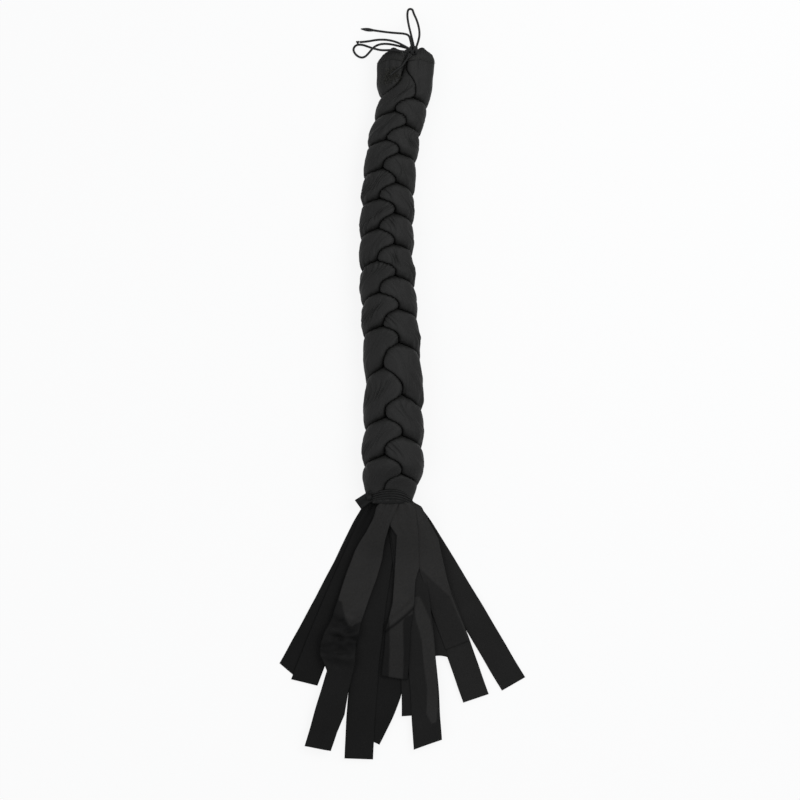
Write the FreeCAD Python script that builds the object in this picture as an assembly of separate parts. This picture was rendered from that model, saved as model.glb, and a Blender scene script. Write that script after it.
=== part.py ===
"""Braid-in horse tail bag lying flat: three fabric tubes in a three-strand braid, tie cords at the mouths,
a bound neck and a fringe of cut fabric strips. Millimetres, +Z up, +Y towards the mouths. Everything is laid out
from the vertical axis that the fringe strips turn about, and then moved along, so that the origin lies on the
resting plane under the middle of the neck binding."""

import FreeCAD, Part
import math
import os
from FreeCAD import Vector

# Braid
BRAID_LENGTH = 530.0  # neck to mouth rims
NECK_PITCH = 45.2  # between crossings of one side, at the neck
MOUTH_PITCH = 29.8  # the same, at the mouths
LOOSE_TURN = (97.0, 193.0)  # one crossing here is longer than its neighbours
LOOSE_TURN_LAG = 0.6  # by this share of a pitch
FIRST_TURN = 0.7  # where the first crossing lies, in pitches from the neck
LAST_TURN = 1.7  # pitches at the rims past whole rounds of the three tubes, so that each meets its mouth
MID_HALF_WIDTH = 29.5  # the braid's half width at its mouth end
NECK_SWELL = 7.5  # how much wider it is near the neck
FLATNESS = 0.66  # half thickness over half width
SWING_X = 0.54  # a strand's sideways swing, as a share of the half width
SWING_Z = 0.36  # its swing over and under, likewise
STRAND_REACH = 0.66  # the most that a strand reaches from its middle, likewise
LEAN = 17.0  # the mouth end lies this far to the side
BOW = 8.5  # and the middle this far to the other side
SIDESTEPS = [(62.0, 52.0, 5.0), (375.0, 120.0, 2.5)]  # small sideways bends: distance from the rims, reach, offset
STRAND_GAP = 2.8
CORNER_SHARPNESS = 5.0
SECTION_STEP = 5.0
SECTION_POINTS = 18
FACES_ALONG = 10

# Neck and binding
NECK_HALF_WIDTH = 23.0
NECK_HALF_HEIGHT = 14.5
BINDING_WALL = 2.5
BINDING_START = 4.0
BINDING_LENGTH = 14.0
NECK_BLEND = 44.0  # the braid narrows to the neck over this length
FIT_GAP = 0.15

# Mouths: (sideways, up) from the middle of the bag, half width and half height of each tube there
MOUTH_HALF_HEIGHT = 16.0
MOUTH_PLACES = {"right_tube": (17.0, 4.5), "centre_tube": (0.5, -8.8), "left_tube": (-16.5, 4.5)}
MOUTH_REACH = 17.5
MOUTH_BLEND = (68.0, 26.0)  # the tubes leave the braid between these two distances from the rims
SLEEVE_WALL = 2.0
POCKET_DEPTH = 34.0
HEM_LENGTH = 14.0
HEM_WALL = 2.4
HEM_GATHER = 0.7  # the rim's size over the tube's
HEM_GAP = 0.2

# Fringe: every strip turns about the vertical axis through the origin
STRIP_WIDTH = 31.5
STRIP_ROOT_WIDTH = 26.0
STRIP_FLARE = 40.0  # full width is reached this far from the strip's start
STRIP_START = 2.0
STRIP_CLEAR = 4.0  # a strip wider than its root stays this far below the origin
STRIP_THICK = 0.6
LAYER_PITCH = 0.9  # between layers where they lie on the table
ROOT_COVER = 2.65  # neck left over and under the strips, whose pitch in the neck follows from it
ROOT_RADIUS = 12.0
ROOT_GAP = 0.3
FALL_START = 14.0  # the strips fall from neck height to the table between these two radii
FALL_END = 75.0
# sideways start, then the end's middle (sideways, along), then the bend in degrees; lowest layer first
STRIPS = [
    (-18.0, -121.0, -198.0, -5.0),
    (12.0, 141.0, -212.0, -2.0),
    (-12.0, -104.0, -210.0, 5.0),
    (10.0, 97.0, -228.6, -4.0),
    (4.0, 49.0, -184.0, 0.0),
    (2.0, -31.0, -275.5, -36.0),
    (-4.0, -40.0, -299.0, 9.6),
    (6.0, 26.0, -248.0, -9.0),
    (8.0, 40.4, -282.0, -8.0),
    (16.0, 76.0, -166.0, 4.0),
    (12.0, 3.3, -204.0, -14.0),
    (-6.0, -88.0, -286.0, 12.0),
]

# Tie cord
CORD = 2.6
KNOT_RADIUS = 4.5
KNOT = Vector(23.0, BRAID_LENGTH - 1.0, 33.5)
CORD_START_GAP = 0.7
# Each stretch's points, from the knot's centre; the cord starts just off the knot's surface
TABLE = CORD / 2.0 - KNOT.z
CORDS = {
    "bow_loop_top": [(0.8, 7.4, -4.2), (-2.4, 18.0, -9.0), (-4.6, 28.0, -18.0), (-5.9, 37.0, -26.5),
                     (-6.3, 44.0, TABLE + 1.0), (-5.2, 49.9, TABLE), (-0.2, 49.9, TABLE), (1.2, 44.5, TABLE),
                     (4.2, 37.5, -26.0), (6.8, 28.0, -17.5), (7.6, 20.0, -10.0), (6.6, 12.5, -4.5), (4.8, 5.6, -1.0)],
    "bow_tail_top": [(-2.4, 5.6, -1.0), (-4.2, 11.0, 0.2), (-6.8, 17.5, -4.0), (-14.5, 20.8, -11.5),
                     (-24.0, 22.0, -20.0), (-33.0, 23.3, -28.0), (-39.5, 24.2, TABLE), (-46.6, 25.0, TABLE)],
    "bow_loop_side": [(-6.5, 2.1, 1.4), (-18.5, 4.0, 1.6), (-28.8, 5.2, -0.2), (-37.5, 5.0, -5.0),
                      (-45.0, 2.6, -12.0), (-51.0, -3.0, -22.5), (-56.0, -6.9, -30.2), (-61.5, -7.2, TABLE),
                      (-67.5, -3.0, TABLE), (-70.0, 3.0, TABLE), (-66.0, 8.2, TABLE), (-58.5, 8.0, TABLE),
                      (-52.0, 5.6, -31.6), (-46.8, 2.8, -25.5), (-43.5, 0.6, -16.0), (-38.0, -2.0, -6.5),
                      (-31.0, -2.3, -1.6), (-22.0, -1.0, -0.2), (-13.5, -2.0, -0.8), (-6.5, -2.1, -1.4)],
    "bow_tail_side": [(-4.6, 0.5, 4.6), (-9.5, 3.0, 6.2), (-19.5, 7.5, 4.8), (-29.5, 9.9, -2.0), (-37.5, 10.9, -11.5),
                      (-44.5, 11.5, -20.5), (-52.5, 11.0, -27.4), (-62.0, 10.4, -28.0)],
}
CLOSED_CORDS = ("bow_loop_top", "bow_loop_side")
# half outline of the top tail's flattened end: along, sideways
TIP_SHAPE = [(0.0, 1.5), (4.0, 2.1), (9.0, 1.8), (14.5, 0.4)]
TIP_THICK = 2.0
END_KNOT_RADIUS = 2.3
ANCHOR_AT = BRAID_LENGTH - 29.5  # where the tie cord is stitched down on the left tube
ANCHOR_ANGLE = 82.0
ANCHOR_SIZE = (5.0, 7.0, 1.4)
ANCHOR_RISE = 0.8
ANCHOR_RUN = [(4.2, 3.9, 2.3), (12.2, 8.2, 0.8), (17.0, 17.0, -0.2)]
BINDING_KNOT_ANGLE = 158.0
BINDING_KNOT_RADIUS = 4.2
BINDING_KNOT_LENGTH = 9.0
BINDING_KNOT_ROUND = 2.6
BINDING_END = (10.0, 12.0, 1.6)
BINDING_END_OFFSET = 6.0  # from the knot's middle
BINDING_END_TURN = 35.0

STRANDS = ("right_tube", "centre_tube", "left_tube")
NECK_MIDDLE = NECK_HALF_HEIGHT + BINDING_WALL
MOUTH_FACE = BRAID_LENGTH
SLEEVE_END = MOUTH_FACE - HEM_LENGTH
PART_START = MOUTH_FACE - MOUTH_BLEND[0]
PART_END = MOUTH_FACE - MOUTH_BLEND[1]
ROOT_PITCH = (2.0 * (NECK_HALF_HEIGHT - ROOT_COVER) - STRIP_THICK) / (len(STRIPS) - 1)


def ease(start, end, at):
    """0 before start, 1 after end, smooth between."""
    share = min(1.0, max(0.0, (at - start) / (end - start)))
    return share * share * (3.0 - 2.0 * share)


def mix(a, b, share):
    return a + (b - a) * share


def middle_x(y):
    """Where the middle of the bag lies, sideways, at y."""
    share = min(1.0, max(0.0, y / BRAID_LENGTH))
    bends = sum(side * (1.0 - ease(0.0, reach, abs(BRAID_LENGTH - far - y))) for far, reach, side in SIDESTEPS)
    return LEAN * share**5 - BOW * math.sin(math.pi * share**1.4) ** 2 + bends


def half_width(y):
    share = min(1.0, max(0.0, y / BRAID_LENGTH))
    return MID_HALF_WIDTH + NECK_SWELL * (1.0 - share) ** 1.3


def turns(y):
    """Pitches from the neck to y; the pitch shrinks evenly towards the mouths, and the whole braid is eased a
    little longer or shorter so that each tube still comes out at its own mouth."""
    fall = (NECK_PITCH - MOUTH_PITCH) / BRAID_LENGTH
    whole = math.log(NECK_PITCH / MOUTH_PITCH) / fall
    rounds = round((whole - LOOSE_TURN_LAG - LAST_TURN) / len(STRANDS))
    eased = (rounds * len(STRANDS) + LAST_TURN + LOOSE_TURN_LAG) / whole
    return eased * math.log(NECK_PITCH / (NECK_PITCH - fall * y)) / fall - LOOSE_TURN_LAG * ease(*LOOSE_TURN, y)


def outline(y):
    """Half width and half height of the whole bag at y."""
    wide = half_width(y)
    high = wide * FLATNESS
    neck = ease(BINDING_START, NECK_BLEND, y)
    wide, high = mix(NECK_HALF_WIDTH, wide, neck), mix(NECK_HALF_HEIGHT, high, neck)
    mouth = ease(PART_START, PART_END, y)
    return mix(wide, half_width(y) + 5.5, mouth), mix(high, MOUTH_HALF_HEIGHT, mouth)


def middle_z(y):
    """Height of the bag's middle, so that its underside stays on the table."""
    return mix(NECK_MIDDLE, outline(y)[1], ease(BINDING_START, NECK_BLEND, y))


def strand_middle(name, y):
    """Sideways and up, from the middle of the bag, of one strand's middle at y."""
    phase = -2.0 * math.pi / 3.0 * (turns(y) - FIRST_TURN - STRANDS.index(name))
    size = half_width(y) * mix(0.52, 1.0, ease(BINDING_START, NECK_BLEND, y))
    mouth = ease(PART_START, PART_END, y)
    x, z = MOUTH_PLACES[name]
    return mix(SWING_X * size * math.sin(phase), x, mouth), mix(SWING_Z * size * math.sin(2.0 * phase), z, mouth)


def strand_radius(name, y, angle):
    """How far a strand reaches from its middle at an angle: to its neighbours, to the bag's outline or to its own
    fullness, whichever comes first, with rounded corners."""
    x, z = strand_middle(name, y)
    across, up = math.cos(angle), math.sin(angle)
    wide, high = outline(y)
    own = mix(STRAND_REACH * half_width(y), MOUTH_REACH, ease(PART_START, PART_END, y))
    a = (across / wide) ** 2 + (up / high) ** 2
    b = x * across / wide**2 + z * up / high**2
    c = (x / wide) ** 2 + (z / high) ** 2 - 1.0
    limits = [own, (-b + math.sqrt(max(0.0, b * b - a * c))) / a]
    for other in STRANDS:
        if other != name:
            ox, oz = strand_middle(other, y)
            apart = math.hypot(ox - x, oz - z)
            facing = (across * (ox - x) + up * (oz - z)) / apart
            if facing > 0.02:
                limits.append((apart - STRAND_GAP) / 2.0 / facing)
    return sum(limit**-CORNER_SHARPNESS for limit in limits) ** (-1.0 / CORNER_SHARPNESS)


def strand_point(name, y, angle, size=1.0, inset=0.0):
    x, z = strand_middle(name, y)
    reach = strand_radius(name, y, angle) * size - inset
    return Vector(middle_x(y) + x + reach * math.cos(angle), y, middle_z(y) + z + reach * math.sin(angle))


def ring(name, y, size=1.0, inset=0.0):
    """A closed smooth wire round a strand at y."""
    turn = 2.0 * math.pi / SECTION_POINTS
    curve = Part.BSplineCurve()
    curve.interpolate(
        Points=[strand_point(name, y, i * turn, size, inset) for i in range(SECTION_POINTS)], PeriodicFlag=True
    )
    return Part.Wire(curve.toShape())


def steps(start, end, step):
    count = max(2, math.ceil((end - start) / step) + 1)
    return [mix(start, end, i / (count - 1)) for i in range(count)]


def skin_solid(name, stations, inset=0.0):
    """A strand as a solid: one smooth surface through rings of poles at the stations, cut into shorter faces
    along its length, with a flat cap at each end."""
    turn = 2.0 * math.pi / SECTION_POINTS
    poles = []
    for i in range(SECTION_POINTS):
        line = [strand_point(name, y, i * turn, inset=inset) for y in stations]
        # poles pushed outwards, so that the surface runs through the points and not inside them
        inner = [at * (4.0 / 3.0) - (before + after) / 6.0 for before, at, after in zip(line, line[1:], line[2:])]
        poles.append([line[0]] + inner + [line[-1]])
    knots = len(stations) - 2
    surface = Part.BSplineSurface()
    surface.buildFromPolesMultsKnots(
        poles, [1] * (SECTION_POINTS + 1), [4] + [1] * (knots - 2) + [4], list(range(SECTION_POINTS + 1)),
        list(range(knots)), True, False, 3, 3
    )
    faces = []
    for i in range(FACES_ALONG):
        piece = surface.copy()
        piece.segment(0, SECTION_POINTS, (knots - 1) * i / FACES_ALONG, (knots - 1) * (i + 1) / FACES_ALONG)
        faces.append(piece.toShape())
    rims = [edge for face in (faces[0], faces[-1]) for edge in face.Edges if edge.isClosed()]
    ends = [edge for edge in rims if edge.BoundBox.YLength < 0.01]
    outer = [min(ends, key=lambda edge: edge.BoundBox.YMin), max(ends, key=lambda edge: edge.BoundBox.YMin)]
    faces += [Part.Face(Part.Wire([edge])) for edge in outer]
    shell = Part.makeShell(faces)
    shell.sewShape()
    solid = Part.makeSolid(shell)
    if solid.Volume < 0:
        solid.reverse()
    return solid


def tube(name):
    """One tube: a bunched strand through the braid, with an open pocket at its mouth end."""
    body = skin_solid(name, steps(BINDING_START + BINDING_LENGTH + FIT_GAP, SLEEVE_END, SECTION_STEP))
    pocket = skin_solid(name, steps(SLEEVE_END - POCKET_DEPTH, SLEEVE_END + 2.0, SECTION_STEP / 2.0), SLEEVE_WALL)
    return body.cut(pocket)


def hem(name):
    """The folded band round a tube's mouth, gathered towards the rim."""
    outer, inner = [], []
    for y in steps(SLEEVE_END + HEM_GAP, MOUTH_FACE, HEM_LENGTH / 4.0):
        size = mix(1.0, HEM_GATHER, ease(SLEEVE_END, MOUTH_FACE + HEM_LENGTH, y) * 2.0)
        outer.append(ring(name, y, size))
        inner.append(ring(name, y, size, HEM_WALL))
    return Part.makeLoft(outer, True, False).cut(Part.makeLoft(inner, True, False))


def upright_oval(half_wide, half_high, y, length):
    """An elliptical bar along +Y from y, round the neck's middle."""
    flat = half_high > half_wide
    major, minor = (half_high, half_wide) if flat else (half_wide, half_high)
    curve = Part.Ellipse(Vector(0, 0, 0), major, minor)
    face = Part.Face(Part.Wire(curve.toShape()))
    face.rotate(Vector(0, 0, 0), Vector(1, 0, 0), 90)
    face.translate(Vector(middle_x(0), y, NECK_MIDDLE))
    return face.extrude(Vector(0, length, 0))


def root_slot_z():
    """Lowest and highest point of the stacked strip roots."""
    high = ROOT_PITCH * (len(STRIPS) - 1) + STRIP_THICK
    return NECK_MIDDLE - high / 2.0, NECK_MIDDLE + high / 2.0


def gathered_tube_ends():
    """The tubes' lower ends, bunched inside the binding, with the slot that the strips' roots turn in."""
    core = upright_oval(NECK_HALF_WIDTH - FIT_GAP, NECK_HALF_HEIGHT - FIT_GAP, BINDING_START, BINDING_LENGTH)
    low, high = root_slot_z()
    slot = Part.makeCylinder(ROOT_RADIUS + ROOT_GAP, high - low + 2 * ROOT_GAP, Vector(0, 0, low - ROOT_GAP))
    return core.cut(slot)


def neck_binding():
    """The fabric band wound round the neck, pressed flat underneath where it lies on the table."""
    outer = upright_oval(NECK_HALF_WIDTH + BINDING_WALL, NECK_MIDDLE + 1.0, BINDING_START, BINDING_LENGTH)
    inner = upright_oval(NECK_HALF_WIDTH, NECK_HALF_HEIGHT, BINDING_START - 1.0, BINDING_LENGTH + 2.0)
    reach = NECK_HALF_WIDTH + 2 * BINDING_WALL
    below = Part.makeBox(2 * reach, BINDING_LENGTH + 2.0, reach, Vector(-reach, BINDING_START - 1.0, -reach))
    return outer.cut(inner).cut(below)


def binding_knot_middle():
    """Just off the binding, on its upper left side."""
    angle = math.radians(BINDING_KNOT_ANGLE)
    wide, high = NECK_HALF_WIDTH + BINDING_WALL, NECK_MIDDLE + 1.0
    out = Vector(math.cos(angle) / wide, 0, math.sin(angle) / high).normalize()
    on = Vector(wide * math.cos(angle), BINDING_START, NECK_MIDDLE + high * math.sin(angle))
    return on + out * (BINDING_KNOT_RADIUS + ROOT_GAP)


def binding_knot():
    knot = Part.makeCylinder(BINDING_KNOT_RADIUS, BINDING_KNOT_LENGTH, binding_knot_middle(), Vector(0, 1, 0))
    return knot.makeFillet(BINDING_KNOT_ROUND, knot.Edges[:1] + knot.Edges[2:])


def binding_end():
    """The binding's free end, a short cut tab that leaves its knot sideways and down the bag."""
    long, wide, thick = BINDING_END
    middle = binding_knot_middle() + Vector(0, BINDING_KNOT_LENGTH / 2.0, 0)
    tab = Part.makeBox(long, wide, thick, Vector(-BINDING_END_OFFSET - long, -wide / 2.0, -thick / 2.0))
    tab = tab.makeFillet(thick * 0.4, tab.Edges)
    tab.rotate(Vector(0, 0, 0), Vector(0, 0, 1), BINDING_END_TURN)
    tab.translate(middle)
    return tab


def strip_path(strip):
    """Chord length, chord heading and bend of a strip's middle line, an arc; headings turn from -Y towards +X."""
    start_x, end_x, end_y, bend = strip
    across, down = end_x - start_x, STRIP_START - end_y
    return math.hypot(across, down), math.atan2(across, down), math.radians(bend)


def strip_centre(strip, share):
    """Point and heading of a strip's middle line at a share of its length."""
    chord, heading, bend = strip_path(strip)
    now = heading - bend / 2.0 + bend * share
    start = Vector(strip[0], STRIP_START, 0)
    if bend == 0:
        return start + Vector(math.sin(heading), -math.cos(heading), 0) * (chord * share), now
    radius = chord / (2.0 * math.sin(bend / 2.0))
    first = heading - bend / 2.0
    return start + Vector(math.cos(first) - math.cos(now), math.sin(first) - math.sin(now), 0) * radius, now


def strip_outline(strip):
    """The strip's flat shape, seen from above, as a face."""
    chord = strip_path(strip)[0]
    sides = [[], []]
    for share in steps(0.0, 1.0, STRIP_FLARE / 2.0 / chord):
        middle, heading = strip_centre(strip, share)
        half = mix(STRIP_ROOT_WIDTH, STRIP_WIDTH, ease(0.0, STRIP_FLARE, share * chord)) / 2.0
        across = Vector(math.cos(heading), math.sin(heading), 0) * half
        sides[0].append(middle - across)
        sides[1].append(middle + across)
    edges = []
    for points in sides:
        curve = Part.BSplineCurve()
        curve.interpolate(points)
        edges.append(curve.toShape())
    ends = [Part.LineSegment(sides[0][i], sides[1][i]).toShape() for i in (0, -1)]
    return Part.Face(Part.Wire([ends[0], edges[1], ends[1], edges[0]]))


def layer_shell(layer):
    """A thin surface of revolution: flat at the neck, falling to the table, flat beyond. Strips cut from such
    layers nest at every angle."""
    low = root_slot_z()[0] + layer * ROOT_PITCH
    rest = layer * LAYER_PITCH
    far = max(math.hypot(x, y) for _, x, y, _ in STRIPS) + STRIP_WIDTH
    profile = [(0, low), (FALL_START, low), (FALL_END, rest), (far, rest)]
    points = [Vector(r, 0, z) for r, z in profile] + [Vector(r, 0, z + STRIP_THICK) for r, z in reversed(profile)]
    face = Part.Face(Part.makePolygon(points + points[:1]))
    return face.revolve(Vector(0, 0, 0), Vector(0, 0, 1), 360)


def fringe_strip(layer):
    tall = 3 * NECK_MIDDLE
    ribbon = strip_outline(STRIPS[layer]).extrude(Vector(0, 0, tall))
    reach = 2 * STRIP_WIDTH
    above = Part.makeBox(2 * reach, reach, tall, Vector(-reach, -STRIP_CLEAR, 0))
    root = Part.makeCylinder(ROOT_RADIUS, tall)
    return layer_shell(layer).common(ribbon.cut(above).fuse(root))


def route(points):
    """A wire of straight runs joined by tangent arcs through a cord's points, and the arcs' radii."""
    edges, radii, last = [], [], points[0]
    for before, corner, after in zip(points, points[1:], points[2:]):
        into, out = corner - before, after - corner
        turn = into.getAngle(out)
        cut = 0.45 * min(into.Length, out.Length)
        radii.append(cut / math.tan(turn / 2.0))
        start = corner - into.normalize() * cut
        end = corner + out.normalize() * cut
        toward = (start + end) * 0.5 - corner
        deep = math.hypot(cut, radii[-1]) - radii[-1]
        mid = corner + toward.normalize() * deep
        edges += [Part.LineSegment(last, start).toShape(), Part.Arc(start, mid, end).toShape()]
        last = end
    edges.append(Part.LineSegment(last, points[-1]).toShape())
    return Part.Wire(edges), radii


def cord_solid(name, points):
    """The round cord along its route. Prints its length and its tightest arcs."""
    path, radii = route(points)
    direction = points[1] - points[0]
    section = Part.Wire(Part.makeCircle(CORD / 2.0, points[0], direction))
    solid = path.makePipeShell([section], True, True)
    expected = path.Length * math.pi * (CORD / 2.0) ** 2
    print(name, "length", round(path.Length, 1), "radii", [round(r, 1) for r in radii],
          "volume share", round(solid.Volume / expected, 3))
    return solid


def cord_points(name):
    """A cord's points in the row's frame. Its ends lie just off the knot, each in line with its first run."""
    points = [Vector(*p) for p in CORDS[name]]
    points[0] = points[0].normalize() * (KNOT_RADIUS + CORD_START_GAP)
    if name in CLOSED_CORDS:
        points[-1] = points[-1].normalize() * (KNOT_RADIUS + CORD_START_GAP)
    return [KNOT + point for point in points]


def tail_tip():
    """The top tail's flattened, heat-sealed end, a small leaf."""
    points = cord_points("bow_tail_top")
    along = (points[-1] - points[-2]).normalize()
    side = Vector(-along.y, along.x, 0)
    base = points[-1] - Vector(0, 0, TIP_THICK / 2.0)
    upper = [base + along * far + side * half for far, half in TIP_SHAPE]
    lower = [base + along * far - side * half for far, half in TIP_SHAPE]
    edges = [Part.LineSegment(lower[0], upper[0]).toShape(), Part.LineSegment(upper[-1], lower[-1]).toShape()]
    for points in (upper, lower):
        curve = Part.BSplineCurve()
        curve.interpolate(points)
        edges.append(curve.toShape())
    return Part.Face(Part.Wire([edges[0], edges[2], edges[1], edges[3]])).extrude(Vector(0, 0, TIP_THICK))


def end_knot():
    """The side tail's small end knot."""
    points = cord_points("bow_tail_side")
    along = (points[-1] - points[-2]).normalize()
    knot = Part.makeCylinder(END_KNOT_RADIUS, 2 * END_KNOT_RADIUS, points[-1], along)
    return knot.makeFillet(END_KNOT_RADIUS * 0.4, knot.Edges[:1] + knot.Edges[2:])


def anchor_place():
    return strand_point("left_tube", ANCHOR_AT, math.radians(ANCHOR_ANGLE))


def anchor_stitch():
    """The bar of stitching that holds the tie cord on the left tube."""
    wide, long, thick = ANCHOR_SIZE
    place = anchor_place() + Vector(-wide / 2.0, -long / 2.0, ANCHOR_RISE)
    bar = Part.makeBox(wide, long, thick, place)
    return bar.makeFillet(thick * 0.4, bar.Edges)


def anchor_run():
    """The tie cord from its stitching, over the left tube, to the bow."""
    place = anchor_place()
    points = [place + Vector(*p) for p in ANCHOR_RUN]
    points.append(KNOT + (points[-1] - KNOT).normalize() * (KNOT_RADIUS + ROOT_GAP))
    return cord_solid("tie_cord_run", points)


def main():
    os.makedirs("parts", exist_ok=True)
    solids = {name: tube(name) for name in STRANDS}
    for name in STRANDS:
        solids[name.replace("tube", "mouth_hem")] = hem(name)
    solids["gathered_tube_ends"] = gathered_tube_ends()
    solids["neck_binding"] = neck_binding()
    solids["binding_knot"] = binding_knot()
    solids["binding_end"] = binding_end()
    for layer in range(len(STRIPS)):
        solids[f"fringe_strip_{layer + 1:02d}"] = fringe_strip(layer)
    solids["bow_knot"] = Part.makeSphere(KNOT_RADIUS, KNOT)
    for name in CORDS:
        solids[name] = cord_solid(name, cord_points(name))
    solids["tail_tip"] = tail_tip()
    solids["tail_end_knot"] = end_knot()
    solids["anchor_stitch"] = anchor_stitch()
    solids["tie_cord_run"] = anchor_run()
    for name, solid in solids.items():
        solid.translate(Vector(0, -BINDING_START - BINDING_LENGTH / 2.0, 0))
        solid.exportStep(f"parts/{name}.step")
        box = solid.BoundBox
        print(name, len(solid.Solids), solid.isValid(), round(solid.Volume), "x", round(box.XMin, 1),
              round(box.XMax, 1), "y", round(box.YMin, 1), round(box.YMax, 1), "z", round(box.ZMin, 2),
              round(box.ZMax, 2))


main()
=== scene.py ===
"""A braid-in horse tail bag lying flat: its three plaited tubes, mouths, tie cord, neck and fringe.

Everything is in metres in the row's frame: +Y from the neck towards the open mouths, +Z up off the table.
The sizes below are written in millimetres, as in a sewing pattern, and turned to metres on the way in.
"""

from __future__ import annotations

import logging
import math
import random
from dataclasses import dataclass, field
from enum import Enum
from typing import Callable, Iterable, Sequence

import bmesh
import bpy
from mathutils import Matrix, Vector, noise

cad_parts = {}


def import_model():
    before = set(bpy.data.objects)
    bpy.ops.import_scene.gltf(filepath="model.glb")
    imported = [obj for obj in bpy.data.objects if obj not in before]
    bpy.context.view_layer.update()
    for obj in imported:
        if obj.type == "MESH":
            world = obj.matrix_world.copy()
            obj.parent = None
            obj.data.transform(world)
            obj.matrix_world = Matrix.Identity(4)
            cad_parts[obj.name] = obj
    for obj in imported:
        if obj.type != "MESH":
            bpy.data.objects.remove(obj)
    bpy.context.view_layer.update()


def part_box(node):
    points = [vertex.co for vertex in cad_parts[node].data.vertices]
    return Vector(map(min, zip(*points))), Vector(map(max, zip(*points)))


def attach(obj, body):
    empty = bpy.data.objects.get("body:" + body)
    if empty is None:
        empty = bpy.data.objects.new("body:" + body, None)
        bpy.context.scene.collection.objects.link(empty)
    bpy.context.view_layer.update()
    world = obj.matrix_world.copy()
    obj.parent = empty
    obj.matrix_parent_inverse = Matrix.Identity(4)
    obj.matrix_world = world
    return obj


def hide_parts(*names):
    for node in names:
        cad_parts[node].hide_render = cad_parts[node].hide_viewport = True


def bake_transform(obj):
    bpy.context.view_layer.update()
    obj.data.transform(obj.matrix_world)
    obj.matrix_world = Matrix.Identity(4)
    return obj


LOG = logging.getLogger("tail_bag")
MM = 0.001
NECK_SHIFT = 11.0  # the fringe's axis lies this far below the origin, along Y
THREAD_HEIGHT = 0.00012  # metres that a full weave bump stands proud
PUCKER_HEIGHT = 0.0007  # metres that a full wrinkle stands proud
CORD_SIDES = 10  # of a wound cord's section
Ring = list[Vector]
# painted shade at each point of a ring, 0 to 1, for how deep in a crease it lies
Creases = Sequence[float]
Shade = tuple[float, float, float]


def ease(start: float, end: float, at: float) -> float:
    """0 before start, 1 after end, smooth between."""
    share = min(1.0, max(0.0, (at - start) / (end - start)))
    return share * share * (3.0 - 2.0 * share)


def mix(a: float, b: float, share: float) -> float:
    """A value that goes from a to b as share goes from 0 to 1."""
    return a + (b - a) * share


def steps(start: float, end: float, step: float) -> list[float]:
    """Evenly spaced values from start to end, no further apart than step."""
    count = max(2, math.ceil((end - start) / step) + 1)
    return [mix(start, end, i / (count - 1)) for i in range(count)]


def bell(at: float, middle: float, reach: float) -> float:
    """1 at the middle, falling smoothly to 0 at the reach on either side."""
    return 1.0 - ease(0.0, reach, abs(at - middle))


def table_value(rows: Sequence[tuple[float, ...]], column: int, at: float) -> float:
    """A column's value at a place in the first column of a table, straight between rows.

    Args:
        rows: The table, in order of its first column.
        column: The column to read.
        at: The place.

    Returns:
        The value; past the last row it is that row's.
    """
    for before, after in zip(rows, rows[1:]):
        if at <= after[0]:
            share = max(0.0, (at - before[0]) / (after[0] - before[0]))
            return mix(before[column], after[column], share)
    return rows[-1][column]


def circle(count: int) -> list[float]:
    """Angles evenly spaced round a circle."""
    return [2.0 * math.pi * i / count for i in range(count)]


def ripple(x: float, y: float, z: float) -> float:
    """Smooth noise from -1 to 1."""
    return noise.noise(Vector((x, y, z)))


# ---------------------------------------------------------------- finishes


class Socket(Enum):
    """Kinds of node group socket."""

    NUMBER = "NodeSocketFloat"
    VECTOR = "NodeSocketVector"
    COLOUR = "NodeSocketColor"


class Pattern(Enum):
    """Where a cloth pattern takes its place from."""

    CLOTH_MAP = "uv"
    SPACE = "object"


@dataclass(frozen=True)
class ClothFinish:
    """A dyed cloth or cord: its colour, thread and sheen."""

    name: str
    slot: str
    colour: Shade
    worn: Shade
    thread: float = 0.45  # mm between threads
    rough: float = 0.62
    sheen: float = 0.25
    gloss: float = 0.3
    bump: float = 0.25
    wrinkle: float = 0.0
    pattern: Pattern = Pattern.CLOTH_MAP
    lit: Shade | None = None  # painted highlight: a lighter copy of the colour, standing in for sheen, used where the lit attribute is 1


class NodeBuilder:
    """Adds and joins nodes in one tree."""

    def __init__(self, tree: bpy.types.NodeTree) -> None:
        """Keep the tree that the nodes go in."""
        self.tree = tree

    def add(self, kind: str, **values: object) -> bpy.types.Node:
        """Add a node.

        Args:
            kind: The node's type name.
            **values: Its properties, by name.

        Returns:
            The node.
        """
        node = self.tree.nodes.new(kind)
        for name, value in values.items():
            setattr(node, name, value)
        return node

    def join(self, source: bpy.types.NodeSocket, target: bpy.types.NodeSocket) -> None:
        """Link one socket to another."""
        self.tree.links.new(source, target)

    def math(self, operation: str, *inputs: object) -> bpy.types.NodeSocket:
        """Add a Math node.

        Args:
            operation: The Math node's operation.
            *inputs: Numbers or sockets, in the node's order.

        Returns:
            The node's output.
        """
        node = self.add("ShaderNodeMath", operation=operation)
        for i, value in enumerate(inputs):
            if isinstance(value, bpy.types.NodeSocket):
                self.join(value, node.inputs[i])
            else:
                node.inputs[i].default_value = value
        return node.outputs[0]

    def noise(self, vector: bpy.types.NodeSocket, scale: float, detail: float = 2.0) -> bpy.types.NodeSocket:
        """Add a Noise Texture.

        Args:
            vector: Where it is read.
            scale: Its scale, per metre.
            detail: Its octaves.

        Returns:
            Its grey output.
        """
        node = self.add("ShaderNodeTexNoise")
        node.inputs["Scale"].default_value = scale
        node.inputs["Detail"].default_value = detail
        self.join(vector, node.inputs["Vector"])
        return node.outputs["Fac"]


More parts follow.
